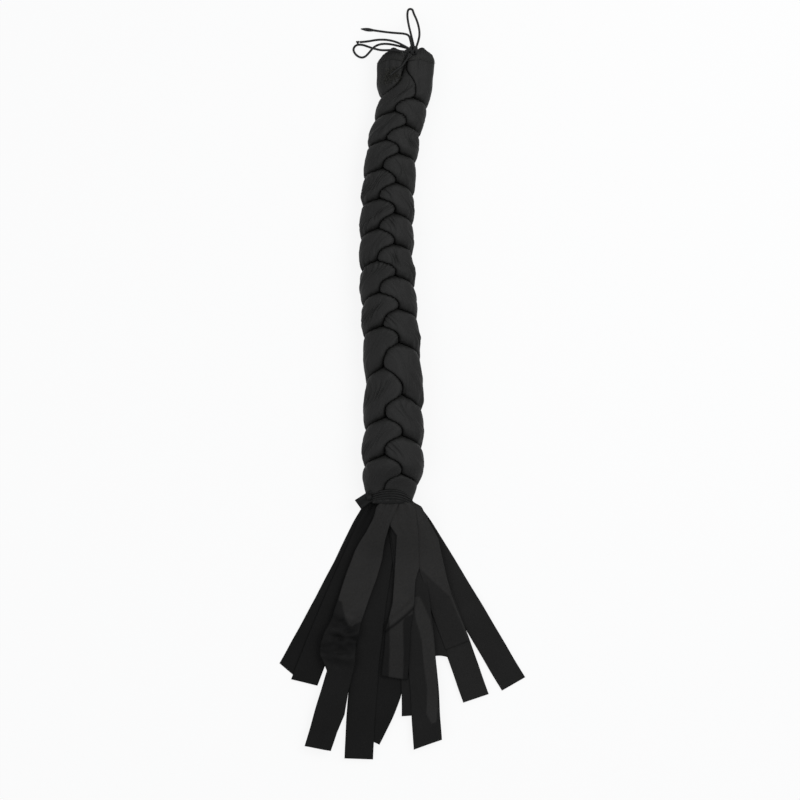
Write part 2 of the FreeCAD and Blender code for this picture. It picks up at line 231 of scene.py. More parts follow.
def node_group(name: str, inputs: Sequence[tuple[str, Socket]], outputs: Sequence[tuple[str, Socket]]
               ) -> tuple[NodeBuilder, bpy.types.Node, bpy.types.Node]:
    """Start a shader node group.

    Args:
        name: The group's name.
        inputs: Its input sockets.
        outputs: Its output sockets.

    Returns:
        A builder on the group, its input node and its output node.
    """
    tree = bpy.data.node_groups.new(name, "ShaderNodeTree")
    for label, kind in inputs:
        tree.interface.new_socket(name=label, in_out="INPUT", socket_type=kind.value)
    for label, kind in outputs:
        tree.interface.new_socket(name=label, in_out="OUTPUT", socket_type=kind.value)
    make = NodeBuilder(tree)
    return make, make.add("NodeGroupInput"), make.add("NodeGroupOutput")


def weave_group() -> bpy.types.NodeTree:
    """A plain weave: threads across and along that pass over and under each other.

    Returns:
        The group, with the height of the threads and a mask of the gaps between them.
    """
    make, source, out = node_group(
        "plain weave", [("Vector", Socket.VECTOR), ("Threads per metre", Socket.NUMBER)],
        [("Height", Socket.NUMBER), ("Gaps", Socket.NUMBER)])
    split = make.add("ShaderNodeSeparateXYZ")
    make.join(source.outputs["Vector"], split.inputs[0])
    turn = make.math("MULTIPLY", source.outputs["Threads per metre"], math.pi)
    across = make.math("MULTIPLY", split.outputs["X"], turn)
    along = make.math("MULTIPLY", split.outputs["Y"], turn)
    warp = make.math("ABSOLUTE", make.math("SINE", across))
    weft = make.math("ABSOLUTE", make.math("SINE", along))
    over = make.math("MULTIPLY", make.math("SINE", across), make.math("SINE", along))
    over = make.math("MULTIPLY_ADD", over, 0.5, 0.5)
    height = make.math("ADD", make.math("MULTIPLY", warp, over),
                       make.math("MULTIPLY", weft, make.math("SUBTRACT", 1.0, over)))
    make.join(height, out.inputs["Height"])
    make.join(make.math("SUBTRACT", 1.0, make.math("MAXIMUM", warp, weft)), out.inputs["Gaps"])
    return make.tree


def tone_group() -> bpy.types.NodeTree:
    """Cloth colour: cloudy dye, pale lint, and painted shade in the creases and in the weave's gaps.

    Returns:
        The group, with the colour and the roughness.
    """
    make, source, out = node_group(
        "cloth tone",
        [("Vector", Socket.VECTOR), ("Colour", Socket.COLOUR), ("Worn", Socket.COLOUR),
         ("Crease shade", Socket.NUMBER), ("Gaps", Socket.NUMBER), ("Roughness", Socket.NUMBER)],
        [("Colour", Socket.COLOUR), ("Roughness", Socket.NUMBER)])
    cloudy = make.noise(source.outputs["Vector"], 28.0, 4.0)
    fine = make.noise(source.outputs["Vector"], 420.0, 2.0)
    worn = make.math("MULTIPLY_ADD", cloudy, 1.6, -0.45)
    worn = make.math("MINIMUM", make.math("MAXIMUM", worn, 0.0), 1.0)
    blend = make.add("ShaderNodeMix", data_type="RGBA")
    make.join(worn, blend.inputs["Factor"])
    make.join(source.outputs["Colour"], blend.inputs["A"])
    make.join(source.outputs["Worn"], blend.inputs["B"])
    shade = make.math("MULTIPLY_ADD", fine, 0.5, 0.75)
    # painted shade, darker where the crease attribute is high
    shade = make.math("MULTIPLY", shade, make.math("MULTIPLY_ADD", source.outputs["Crease shade"], -0.7, 1.0))
    # painted shade in the gaps between the threads
    shade = make.math("MULTIPLY", shade, make.math("MULTIPLY_ADD", source.outputs["Gaps"], -0.6, 1.0))
    scale = make.add("ShaderNodeVectorMath", operation="SCALE")
    make.join(blend.outputs["Result"], scale.inputs[0])
    make.join(shade, scale.inputs["Scale"])
    make.join(scale.outputs[0], out.inputs["Colour"])
    rough = make.math("ADD", source.outputs["Roughness"], make.math("MULTIPLY_ADD", fine, 0.16, -0.08))
    make.join(rough, out.inputs["Roughness"])
    return make.tree


class Dyer:
    """Makes each finish's material once, from the shared node groups."""

    def __init__(self) -> None:
        """Build the shared groups."""
        self.weave = weave_group()
        self.tone = tone_group()
        self.made: dict[str, bpy.types.Material] = {}

    def dye(self, finish: ClothFinish) -> bpy.types.Material:
        """A finish's material.

        Args:
            finish: The cloth or cord.

        Returns:
            The material, the same one each time.
        """
        if finish.name in self.made:
            return self.made[finish.name]
        material = bpy.data.materials.new(finish.name)
        material.use_nodes = True
        make = NodeBuilder(material.node_tree)
        shader = next(n for n in make.tree.nodes if n.type == "BSDF_PRINCIPLED")
        place = make.add("ShaderNodeTexCoord")
        space = place.outputs["Object"]
        threads = make.add("ShaderNodeMapping")
        if finish.pattern is Pattern.CLOTH_MAP:
            cloth = make.add("ShaderNodeUVMap", uv_map="cloth")
            make.join(cloth.outputs[0], threads.inputs["Vector"])
        else:
            make.join(space, threads.inputs["Vector"])
            threads.inputs["Rotation"].default_value = (0.5, 0.35, math.radians(38.0))
        weave = make.add("ShaderNodeGroup", node_tree=self.weave)
        make.join(threads.outputs[0], weave.inputs["Vector"])
        weave.inputs["Threads per metre"].default_value = 1000.0 / finish.thread
        tone = make.add("ShaderNodeGroup", node_tree=self.tone)
        # the crease attribute holds painted shade for creases, folds and hollows
        crease = make.add("ShaderNodeAttribute", attribute_name="crease")
        make.join(space, tone.inputs["Vector"])
        make.join(crease.outputs["Fac"], tone.inputs["Crease shade"])
        make.join(weave.outputs["Gaps"], tone.inputs["Gaps"])
        tone.inputs["Colour"].default_value = (*finish.colour, 1.0)
        tone.inputs["Worn"].default_value = (*finish.worn, 1.0)
        # painted lit and shaded copies of the colour, for the strips
        if finish.lit is not None:
            self.paint_lit_colour(make, tone, finish)
        tone.inputs["Roughness"].default_value = finish.rough
        make.join(tone.outputs["Colour"], shader.inputs["Base Color"])
        make.join(tone.outputs["Roughness"], shader.inputs["Roughness"])
        shader.inputs["Specular IOR Level"].default_value = finish.gloss
        shader.inputs["Sheen Weight"].default_value = finish.sheen
        shader.inputs["Sheen Roughness"].default_value = 0.45
        shader.inputs["Sheen Tint"].default_value = (*finish.worn, 1.0)
        puckers = make.noise(space, 160.0, 3.0)
        height = make.math("ADD", make.math("MULTIPLY", weave.outputs["Height"], THREAD_HEIGHT * finish.bump),
                           make.math("MULTIPLY", puckers, PUCKER_HEIGHT * finish.wrinkle))
        bump = make.add("ShaderNodeBump")
        bump.inputs["Strength"].default_value = 1.0
        bump.inputs["Distance"].default_value = 1.0
        make.join(height, bump.inputs["Height"])
        make.join(bump.outputs[0], shader.inputs["Normal"])
        self.made[finish.name] = material
        return material

    def paint_lit_colour(self, make: NodeBuilder, tone: bpy.types.Node, finish: ClothFinish) -> None:
        """Paint a lighter copy of the cloth's colour, a painted highlight standing in for sheen, where the
        piece's lit attribute says so.

        Args:
            make: The builder on the cloth's material.
            tone: Its tone group.
            finish: The cloth, which has a painted lit colour.
        """
        side = make.add("ShaderNodeAttribute", attribute_name="lit")
        # the lit copy's worn colour is brighter still, for more painted highlight
        for name, dark, gain in (("Colour", finish.colour, 1.0), ("Worn", finish.worn, 1.3)):
            blend = make.add("ShaderNodeMix", data_type="RGBA")
            make.join(side.outputs["Fac"], blend.inputs["Factor"])
            blend.inputs["A"].default_value = (*dark, 1.0)
            blend.inputs["B"].default_value = (*(channel * gain for channel in finish.lit), 1.0)
            make.join(blend.outputs["Result"], tone.inputs[name])


TUBE_CLOTH = ClothFinish(
    "bunched black nylon", "tube_fabric", (0.0120, 0.0119, 0.0112), (0.0165, 0.0163, 0.0158),
    gloss=0.22, sheen=0.2, wrinkle=0.9)
HEM_CLOTH = ClothFinish(
    "folded black hem", "hem_fabric", (0.0115, 0.0115, 0.0108), (0.016, 0.016, 0.0152),
    gloss=0.22, sheen=0.2, wrinkle=0.6)
BAND_CLOTH = ClothFinish(
    "black binding", "binding_fabric", (0.0105, 0.0105, 0.010), (0.0155, 0.0155, 0.015),
    gloss=0.2, sheen=0.18, wrinkle=0.8)
# Strip cloth: a dark, shaded copy of the colour, and a lighter lit copy that paints the sheen where light
# falls.
STRIP_CLOTH = ClothFinish(
    "black strip nylon", "strip_fabric", (0.0036, 0.0036, 0.0035), (0.0052, 0.0052, 0.0050),
    gloss=0.09, sheen=0.06, wrinkle=0.35, lit=(0.0205, 0.0200, 0.0193))
CORD_CLOTH = ClothFinish(
    "black round cord", "tie_cord", (0.0065, 0.0065, 0.0065), (0.011, 0.011, 0.011),
    thread=0.8, bump=1.0, gloss=0.3, pattern=Pattern.SPACE)
THREAD_CLOTH = ClothFinish(
    "black thread", "stitching", (0.020, 0.020, 0.016), (0.055, 0.053, 0.040),
    thread=0.5, gloss=0.3, pattern=Pattern.SPACE)


# ---------------------------------------------------------------- shared modelling


def new_piece(name: str, bm: bmesh.types.BMesh, material: bpy.types.Material, smooth: bool = True
              ) -> bpy.types.Object:
    """Turn a finished bmesh into a piece.

    Args:
        name: The piece's name.
        bm: Its mesh, which is freed.
        material: Its material.
        smooth: Whether its faces are shaded smooth.

    Returns:
        The piece, at the origin.
    """
    bmesh.ops.recalc_face_normals(bm, faces=bm.faces)
    for face in bm.faces:
        face.smooth = smooth
    mesh = bpy.data.meshes.new(name)
    bm.to_mesh(mesh)
    bm.free()
    mesh.materials.append(material)
    piece = bpy.data.objects.new(name, mesh)
    bpy.context.scene.collection.objects.link(piece)
    return piece


def riding_piece(name: str, bm: bmesh.types.BMesh, dyer: Dyer, finish: ClothFinish, body: str, node: str = ""
                 ) -> bpy.types.Object:
    """Turn a finished bmesh into a piece that rides one body.

    Args:
        name: The piece's name.
        bm: Its mesh, which is freed.
        dyer: The maker of its material.
        finish: Its cloth, cord or thread.
        body: The body that it rides.
        node: The CAD node that it replaces; empty for an extra piece.

    Returns:
        The piece.
    """
    piece = new_piece(name, bm, dyer.dye(finish))
    if node:
        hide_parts(node)
    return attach(piece, body)


def ring_edges(ring: list[bmesh.types.BMVert]) -> list[bmesh.types.BMEdge]:
    """The edges of a closed ring of vertices, in order."""
    return [next(e for e in vert.link_edges if e.other_vert(vert) is after)
            for vert, after in zip(ring, ring[1:] + ring[:1])]


class Sweep:
    """A skin grown from a circle, ring by ring, with a cloth map and a painted crease shade value on it."""

    def __init__(self, points: Ring, crease: Creases | None = None) -> None:
        """Start the skin.

        Args:
            points: The first ring, in metres.
            crease: The painted shade at each point, 0 to 1, for how deep in a crease it lies.
        """
        self.bm = bmesh.new()
        self.crease = self.bm.verts.layers.float.new("crease")
        self.map = self.bm.loops.layers.uv.new("cloth")
        made = bmesh.ops.create_circle(self.bm, cap_ends=False, radius=1.0, segments=len(points))
        self.ring = list(made["verts"])
        self.first = self.ring
        self.along = 0.0
        self._place(self.ring, points, crease)

    def _place(self, ring: list[bmesh.types.BMVert], points: Ring, crease: Creases | None) -> None:
        """Put a ring's vertices where they belong.

        Args:
            ring: The vertices.
            points: Their places, in metres.
            crease: The painted shade at each, for how deep in a crease it lies; none when it is left out.
        """
        for i, (vert, point) in enumerate(zip(ring, points)):
            vert.co = point
            vert[self.crease] = crease[i] if crease else 0.0

    def grow(self, points: Ring, crease: Creases | None = None) -> None:
        """Extrude the open end to a new ring.

        Args:
            points: The new ring, in the same order.
            crease: The painted shade at each point, for how deep in a crease it lies.
        """
        old = self.ring
        count = len(old)
        made = bmesh.ops.extrude_edge_only(self.bm, edges=ring_edges(old))
        fresh = {g for g in made["geom"] if isinstance(g, bmesh.types.BMVert)}
        ring = [next(v for e in vert.link_edges for v in (e.other_vert(vert),) if v in fresh) for vert in old]
        self._place(ring, points, crease)
        length = self.along + sum((a.co - b.co).length for a, b in zip(ring[::4], old[::4])) / len(ring[::4])
        girth = [0.0]
        for i in range(count):
            girth.append(girth[-1] + (ring[(i + 1) % count].co - ring[i].co).length)
        place = {}
        for i in range(count):
            place[old[i]] = (i, self.along)
            place[ring[i]] = (i, length)
        for face in {f for g in made["geom"] if isinstance(g, bmesh.types.BMEdge) for f in g.link_faces}:
            corners = [place.get(loop.vert) for loop in face.loops]
            if None in corners:
                continue
            wraps = {c[0] for c in corners} == {0, count - 1}
            for loop, (i, v) in zip(face.loops, corners):
                loop[self.map].uv = (girth[count] if wraps and i == 0 else girth[i], v)
        self.ring, self.along = ring, length

    def close_end(self, first: bool = False) -> None:
        """Fill the open end, or the first one."""
        bmesh.ops.contextual_create(self.bm, geom=ring_edges(self.first if first else self.ring))

    def bridge(self) -> None:
        """Join the last ring to the first one, for a closed loop."""
        bmesh.ops.bridge_loops(self.bm, edges=ring_edges(self.first) + ring_edges(self.ring))


def sweep(rings: Iterable[tuple[Ring, Creases | None]]) -> Sweep:
    """A skin through rings in turn.

    Args:
        rings: Each ring, with the painted crease shade at its points.

    Returns:
        The skin, open at both ends.
    """
    skin = None
    for points, crease in rings:
        if skin is None:
            skin = Sweep(points, crease)
        else:
            skin.grow(points, crease)
    return skin


def wound_cord(route: Callable[[float], Vector], middle: Vector, count: int, ahead: float, lean: Vector,
               radius: float) -> Sweep:
    """The skin of a cord that winds back to its own start.

    Args:
        route: The cord's middle at a turn from 0 to a full circle, in millimetres.
        middle: Where the route's own zero lies, in millimetres.
        count: How many rings it has.
        ahead: How far ahead along the turn the cord's direction is taken.
        lean: A direction that the cord never runs in.
        radius: The cord's radius, in millimetres.

    Returns:
        The closed skin.
    """
    rings = []
    for turn in circle(count):
        centre = route(turn)
        along = (route(turn + ahead) - centre).normalized()
        side = along.cross(lean).normalized()
        up = along.cross(side)
        rings.append(([(middle + centre + (side * math.cos(a) + up * math.sin(a)) * radius) * MM
                       for a in circle(CORD_SIDES)], None))
    skin = sweep(rings)
    skin.bridge()
    return skin


def spline(name: str, points: Sequence[Vector], diameter: float, material: bpy.types.Material
           ) -> bpy.types.Object:
    """A round cord on one smooth curve.

    Args:
        name: The piece's name.
        points: Its control points, in metres.
        diameter: Its thickness, in metres.
        material: Its material.

    Returns:
        The curve object.
    """
    curve = bpy.data.curves.new(name, "CURVE")
    curve.dimensions = "3D"
    curve.bevel_depth = diameter / 2.0
    curve.bevel_resolution = 5
    curve.resolution_u = 16
    curve.use_fill_caps = True
    line = curve.splines.new("NURBS")
    line.points.add(len(points) - 1)
    for spot, point in zip(line.points, points):
        spot.co = (*point, 1.0)
    line.order_u = 3
    line.use_endpoint_u = True
    curve.materials.append(material)
    piece = bpy.data.objects.new(name, curve)
    bpy.context.scene.collection.objects.link(piece)
    return piece


def curve_length(piece: bpy.types.Object) -> float:
    """Measure a cord.

    Args:
        piece: The cord.

    Returns:
        The length of its centreline, in metres.
    """
    depth, piece.data.bevel_depth = piece.data.bevel_depth, 0.0
    bpy.context.view_layer.update()
    line = bpy.data.meshes.new_from_object(piece.evaluated_get(bpy.context.evaluated_depsgraph_get()))
    piece.data.bevel_depth = depth
    points = [v.co for v in line.vertices]
    return sum((a - b).length for a, b in zip(points, points[1:]))


# ---------------------------------------------------------------- the plait


@dataclass
class Plait:
    """The three tubes, plaited from the neck to their open mouths. Sizes in millimetres."""

    dyer: Dyer
    length: float = 530.0
    neck_pitch: float = 45.2
    mouth_pitch: float = 29.8
    loose_turn: tuple[float, float] = (97.0, 193.0)  # where the plait turns less than elsewhere
    loose_turn_lag: float = 0.6  # pitches
    first_turn: float = 0.7  # pitches
    whole_turns: float = 14.3  # pitches from the neck to the rims, loose turn not counted
    half_width: float = 29.5
    neck_swell: float = 7.5
    mouth_swell: float = 5.5
    flatness: float = 0.66  # height against width
    swing: tuple[float, float] = (0.54, 0.36)  # sideways and up, against the half width
    neck_swing: float = 0.52  # how much of the swing is left in the band
    strand_reach: float = 0.70  # against the half width
    lean: float = 17.0
    bow: float = 8.5
    sidesteps: tuple[tuple[float, float, float], ...] = (  # place, reach, aside
        (468.0, 52.0, 5.0), (155.0, 120.0, 2.5), (0.0, 50.0, -3.5))
    slack: float = 3.4  # how far the strands stray from an even plait
    gap: float = 0.2
    sharpness: float = 9.0
    crossing: tuple[float, float, float, float] = (  # the last one: place, reach, aside, up
        487.0, 27.0, 5.0, 15.0)
    pleats: tuple[tuple[float, float, float], ...] = (  # place, reach, the way it faces in radians
        (376.0, 24.0, 3.1), (330.0, 12.0, 2.2), (284.0, 17.0, 2.9), (228.0, 22.0, 3.3), (178.0, 14.0, 0.6),
        (138.0, 20.0, 3.0), (74.0, 16.0, 3.4), (410.0, 14.0, 1.0), (255.0, 16.0, 0.9), (110.0, 14.0, 1.2))
    neck_size: tuple[float, float] = (23.0, 14.5)
    neck_middle: float = 17.0
    neck_top: float = 3.0  # where the tubes start, inside the band
    neck_swells: tuple[float, float] = (-14.0, 44.0)  # sideways
    neck_rises: tuple[float, float] = (9.0, 46.0)  # upwards, from inside the band
    mouth_blend: tuple[float, float] = (462.0, 504.0)
    mouth_half_height: float = 16.0
    mouth_reach: float = 17.5
    mouths: dict[str, tuple[float, float]] = field(default_factory=lambda: {
        "right_tube": (17.0, 4.5), "centre_tube": (0.5, -8.8), "left_tube": (-16.5, 4.5)})
    hem_length: float = 14.0
    hem_gather: float = 0.7
    dome: float = 7.0  # the rims' sides lie this far behind their tops
    hem_wall: float = 2.4
    pocket: float = 40.0
    sleeve_wall: float = 1.4
    sleeve_step: float = 6.0
    fill: float = 0.55  # how full the tubes are; not used
    stitches: int = 34  # round each hem
    around: int = 96
    step: float = 2.2

    def middle_x(self, y: float) -> float:
        """Where the middle of the plait lies.

        Args:
            y: Where along the plait, in millimetres.

        Returns:
            Its place sideways, in millimetres.
        """
        share = min(1.0, max(0.0, y / self.length))
        bends = sum(side * bell(y, at, reach) for at, reach, side in self.sidesteps)
        return self.lean * share**5 - self.bow * math.sin(math.pi * share**1.4) ** 2 + bends

    def half(self, y: float) -> float:
        """The plait's half width at y."""
        share = min(1.0, max(0.0, y / self.length))
        return self.half_width + self.neck_swell * (1.0 - share) ** 1.3

    def turns(self, y: float) -> float:
        """How far the plait has turned.

        Args:
            y: Where along the plait, in millimetres.

        Returns:
            The pitches from the neck to there.
        """
        fall = (self.neck_pitch - self.mouth_pitch) / self.length
        whole = math.log(self.neck_pitch / self.mouth_pitch)
        even = math.log(self.neck_pitch / (self.neck_pitch - fall * y)) / whole
        return self.whole_turns * even - self.loose_turn_lag * ease(*self.loose_turn, y)

    def outline(self, y: float) -> tuple[float, float]:
        """The size of the whole plait.

        Args:
            y: Where along the plait, in millimetres.

        Returns:
            Its half width and half height, in millimetres.
        """
        wide = self.half(y)
        a = mix(self.neck_size[0], wide, ease(*self.neck_swells, y))
        b = mix(self.neck_size[1], wide * self.flatness, ease(*self.neck_rises, y))
        mouth = ease(*self.mouth_blend, y)
        return mix(a, wide + self.mouth_swell, mouth), mix(b, self.mouth_half_height, mouth)

    def middle_z(self, y: float) -> float:
        """Height of the plait's middle at y."""
        return mix(self.neck_middle, self.outline(y)[1], ease(*self.neck_rises, y))

    def strand(self, name: str, y: float) -> tuple[float, float]:
        """Where one strand's middle lies.

        Args:
            name: The strand.
            y: Where along the plait, in millimetres.

        Returns:
            Its place sideways and up from the plait's middle, in millimetres.
        """
        order = list(self.mouths).index(name)
        phase = -2.0 * math.pi / 3.0 * (self.turns(y) - self.first_turn - order)
        size = self.half(y) * mix(self.neck_swing, 1.0, ease(*self.neck_swells, y))
        mouth = ease(*self.mouth_blend, y)
        x, z = self.mouths[name]
        place, reach, aside, up = self.crossing
        over = bell(y, place, reach) if name == "centre_tube" else 0.0
        slack = self.slack * bell(y, self.length / 2.0, self.length / 2.0) ** 0.3
        seed = 5.0 * order
        stray_x = aside * over + slack * ripple(seed, y / 17.0, 0.5)
        stray_z = up * over + slack * ripple(seed, y / 19.0, 7.5)
        return (mix(self.swing[0] * size * math.sin(phase), x, mouth) + stray_x,
                mix(self.swing[1] * size * math.sin(2.0 * phase), z, mouth) + stray_z)

    def reach(self, name: str, y: float, angle: float) -> tuple[float, float]:
        """How far a strand reaches from its middle at an angle.

        Args:
            name: The strand.
            y: Where along the plait, in millimetres.
            angle: The direction, in radians.

        Returns:
            The reach, and how much of it is set by a neighbour, 0 to 1.
        """
        x, z = self.strand(name, y)
        across, up = math.cos(angle), math.sin(angle)
        wide, high = self.outline(y)
        own = mix(self.strand_reach * self.half(y), self.mouth_reach, ease(*self.mouth_blend, y))
        a = (across / wide) ** 2 + (up / high) ** 2
        b = x * across / wide**2 + z * up / high**2
        c = (x / wide) ** 2 + (z / high) ** 2 - 1.0
        free = [own, (-b + math.sqrt(max(0.0, b * b - a * c))) / a]
        held = []
        for other in self.mouths:
            if other != name:
                ox, oz = self.strand(other, y)
                apart = math.hypot(ox - x, oz - z)
                facing = (across * (ox - x) + up * (oz - z)) / apart
                if facing > 0.02:
                    held.append((apart - self.gap) / 2.0 / facing)
        power = self.sharpness
        total = sum(limit**-power for limit in free + held)
        pressed = sum(limit**-power for limit in held) / total
        return total ** (-1.0 / power), pressed

    def point(self, name: str, y: float, angle: float, size: float = 1.0, inset: float = 0.0) -> Vector:
        """A point on a strand's skin.

        Args:
            name: The strand.
            y: Where along the plait, in millimetres.
            angle: Where round the strand, in radians.
            size: How large the strand is drawn there.
            inset: How far inside the skin the point lies, in millimetres.

        Returns:
            The point, in metres in the row's frame.
        """
        x, z = self.strand(name, y)
        reach = self.reach(name, y, angle)[0] * size - inset
        drawn = self.dome * abs(math.cos(angle)) ** 2.4 * ease(self.length - 34.0, self.length, y)
        place = Vector((self.middle_x(y) + x + reach * math.cos(angle), y - NECK_SHIFT - drawn,
                        self.middle_z(y) + z + reach * math.sin(angle)))
        return place * MM

    def puckers(self, name: str, y: float, angle: float) -> float:
        """Lengthwise folds, soft dents and pleats in the bunched cloth.

        Args:
            name: The strand.
            y: Where along the plait, in millimetres.
            angle: Where round the strand, in radians.

        Returns:
            How far the cloth stands out, in millimetres.
        """
        seed = 7.0 * (1 + list(self.mouths).index(name))
        folds = ripple(2.6 * math.cos(angle) + seed, 2.6 * math.sin(angle), y / 60.0)
        fine = ripple(6.0 * math.cos(angle) + seed, 6.0 * math.sin(angle), y / 26.0)
        dents = ripple(1.3 * math.cos(angle), 1.3 * math.sin(angle) + seed, y / 15.0)
        pleated = 0.0
        for place, reach, facing in self.pleats:
            near = bell(y, place + 14.0 * math.cos(angle), reach)
            near *= max(0.0, math.cos(angle - facing + math.pi / 4.0))
            pleated += near * (abs(math.sin(9.0 * angle + y / 15.0 + 2.0 * folds)) - 0.6)
        return 0.9 * folds + 0.5 * fine + 0.55 * dents + 2.6 * pleated

    def ring(self, name: str, y: float, size: float = 1.0, inset: float = 0.0) -> tuple[Ring, list[float]]:
        """A strand's skin across the plait.

        Args:
            name: The strand.
            y: Where along the plait, in millimetres.
            size: How large the strand is drawn there.
            inset: How far inside the skin the ring lies, in millimetres.

        Returns:
            The ring, and the painted shade at each point, darkest where a neighbouring strand presses on it.
        """
        points, crease = [], []
        for angle in circle(self.around):
            pressed = self.reach(name, y, angle)[1]
            pucker = self.puckers(name, y, angle) * (1.0 - 0.8 * pressed) * ease(10.0, 50.0, y)
            points.append(self.point(name, y, angle, size, inset - pucker))
            # painted shade between the strands, made uneven at random
            uneven = 0.62 + 0.38 * ripple(1.7 * math.cos(angle), y / 9.0, 1.7 * math.sin(angle))
            crease.append(ease(0.4, 0.95, pressed) * uneven)
        return points, crease

    def hem_size(self, y: float) -> float:
        """How much the gathered rim shrinks a tube at y."""
        start = self.length - self.hem_length
        return mix(1.0, self.hem_gather, ease(start, self.length + self.hem_length, y) * 2.0)

    def build_tube(self, name: str) -> bpy.types.Object:
        """One tube, from the neck up to its hem, then back down the inside of its sleeve.

        Args:
            name: The tube's CAD node.

        Returns:
            The piece.
        """
        top = self.length - self.hem_length
        rings = [self.ring(name, y) for y in steps(self.neck_top, top, self.step)]
        for y in reversed(steps(top - self.pocket, top, self.sleeve_step)):
            points, _ = self.ring(name, y, inset=self.sleeve_wall)
            # painted shade inside the sleeve, darker further in
            rings.append((points, [1.0 - 0.5 * (y - top + self.pocket) / self.pocket] * self.around))
        skin = sweep(rings)
        skin.close_end()
        skin.close_end(first=True)
        piece = new_piece(f"plait_{name}", skin.bm, self.dyer.dye(TUBE_CLOTH))
        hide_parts(name)
        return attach(piece, "bag")

    def build_hem(self, name: str) -> bpy.types.Object:
        """The folded, gathered band round a mouth.

        Args:
            name: The tube that it closes.

        Returns:
            The piece.
        """
        start = self.length - self.hem_length
        outer = steps(start - 1.0, self.length - 1.0, 1.6)
        profile = [(y, -0.55 * math.sin(math.pi * ease(start - 1.0, self.length - 1.0, y))) for y in outer]
        profile += [(self.length - 0.3, 0.5), (self.length, 1.2), (self.length - 0.3, 1.9)]
        profile += [(y, self.hem_wall) for y in reversed(steps(start - 4.0, self.length - 1.2, 2.4))]
        rings = []
        for y, inset in profile:
            points = []
            for angle in circle(self.around):
                gather = 0.45 * math.sin(17.0 * angle + 2.0 * ripple(math.cos(angle), math.sin(angle), 3.0))
                gather *= ease(start, self.length, y) if inset < self.hem_wall else 0.4
                points.append(self.point(name, y, angle, self.hem_size(y), inset - gather))
            rings.append((points, None))
        skin = sweep(rings)
        skin.bridge()
        node = name.replace("tube", "mouth_hem")
        return riding_piece(f"gathered_{node}", skin.bm, self.dyer, HEM_CLOTH, "bag", node)

    def build_stitches(self, name: str) -> bpy.types.Object:
        """The row of stitches that closes a hem.

        Args:
            name: The tube whose hem it is.

        Returns:
            The piece.
        """
        bm = bmesh.new()
        y = self.length - self.hem_length + 1.6
        radius, reach = 0.0004, 0.055
        for angle in circle(self.stitches):
            a, b = (self.point(name, y, angle + side, self.hem_size(y), -0.75) for side in (-reach, reach))
            made = bmesh.ops.create_icosphere(bm, subdivisions=1, radius=radius)
            turn = Vector((1, 0, 0)).rotation_difference((b - a).normalized()).to_matrix().to_4x4()
            stretch = Matrix.Diagonal((max(1.0, (b - a).length / (2.0 * radius)), 1, 1, 1))
            place = Matrix.Translation((a + b) / 2.0)
            bmesh.ops.transform(bm, verts=made["verts"], matrix=place @ turn @ stretch)
        return riding_piece(f"{name}_hem_stitches", bm, self.dyer, THREAD_CLOTH, "bag")

    def build(self) -> None:
        """Every tube with its hem."""
        for name in self.mouths:
            self.build_tube(name)
            self.build_hem(name)
            self.build_stitches(name)
            LOG.info("plaited %s", name)


# ---------------------------------------------------------------- the fringe


class Fall(Enum):
    """How a strip lies."""

    FLAT = "flat"
    CRUMPLED = "crumpled"
    TURNED = "turned"
    TILTED = "tilted"


Row = tuple[float, float, float]
Rows = tuple[Row, ...]
ROOT_EDGE: Row = (-10.0, -13.0, 13.0)  # a cut edge starts here, under the band


@dataclass
class Strip:
    """One cut strip: sideways start, the end's middle, its bend in degrees, its layer and how it lies."""

    start_x: float
    end_x: float
    end_y: float
    bend: float
    layer: int
    tone: float = 0.0  # share of the painted lit colour all over, 0 to 1, for how light falls on the strip
    fall: Fall = Fall.FLAT
    edges: Rows = ()  # along, left and right from the middle line; empty for an even cut
    lit: Rows = ()  # the same, for the band painted in the lit colour
    cut_slant: float = 0.0  # mm that one corner of the end is longer than the other
    hollow: float = 0.0  # mm that the end's middle is shorter than its corners
    settled: float | None = None  # the layer that its lower end has sunk to
    width: float = 31.5
    root_width: float = 26.0
    start_y: float = 2.0
    lit_edge: float = 0.7  # mm that the painted lit band fades over, either way

    def chord(self) -> tuple[float, float, float]:
        """Chord length, chord heading and bend in radians."""
        across, down = self.end_x - self.start_x, self.start_y - self.end_y
        return math.hypot(across, down), math.atan2(across, down), math.radians(self.bend)

    def middle(self, share: float) -> tuple[Vector, float]:
        """The middle line.

        Args:
            share: Where along it, as a share of its length.

        Returns:
            The point, in millimetres, and the heading there, in radians from -Y towards +X.
        """
        chord, heading, bend = self.chord()
        now = heading - bend / 2.0 + bend * share
        start = Vector((self.start_x, self.start_y, 0.0))
        if abs(bend) < 1e-6:
            return start + Vector((math.sin(heading), -math.cos(heading), 0.0)) * (chord * share), now
        radius = chord / (2.0 * math.sin(bend / 2.0))
        first = heading - bend / 2.0
        turned = Vector((math.cos(first) - math.cos(now), math.sin(first) - math.sin(now), 0.0))
        return start + turned * radius, now

    def arc(self) -> float:
        """Length of the middle line, in millimetres."""
        chord, _, bend = self.chord()
        return chord if abs(bend) < 1e-6 else chord * bend / (2.0 * math.sin(bend / 2.0))

    def offset(self, side: float, along: float) -> float:
        """How far to the right of the middle line a point lies.

        Args:
            side: Across the strip, -1 to 1.
            along: Along the strip, in millimetres.

        Returns:
            The distance, in millimetres.
        """
        if self.edges:
            left, right = (table_value(self.edges, column, along) for column in (1, 2))
            return mix(left, right, (side + 1.0) / 2.0)
        return side * mix(self.root_width, self.width, ease(0.0, 40.0, along)) / 2.0

    def shine(self, offset: float, along: float) -> float:
        """How much of the painted lit colour is used at a point.

        Args:
            offset: How far to the right of the middle line, in millimetres.
            along: Along the strip, in millimetres.

        Returns:
            The share, 0 to 1.
        """
        if not self.lit or not self.lit[0][0] <= along <= self.lit[-1][0]:
            return self.tone
        left, right = (table_value(self.lit, column, along) for column in (1, 2))
        soft = self.lit_edge
        inside = ease(left - soft, left + soft, offset) * (1.0 - ease(right - soft, right + soft, offset))
        return mix(self.tone, 1.0, inside)


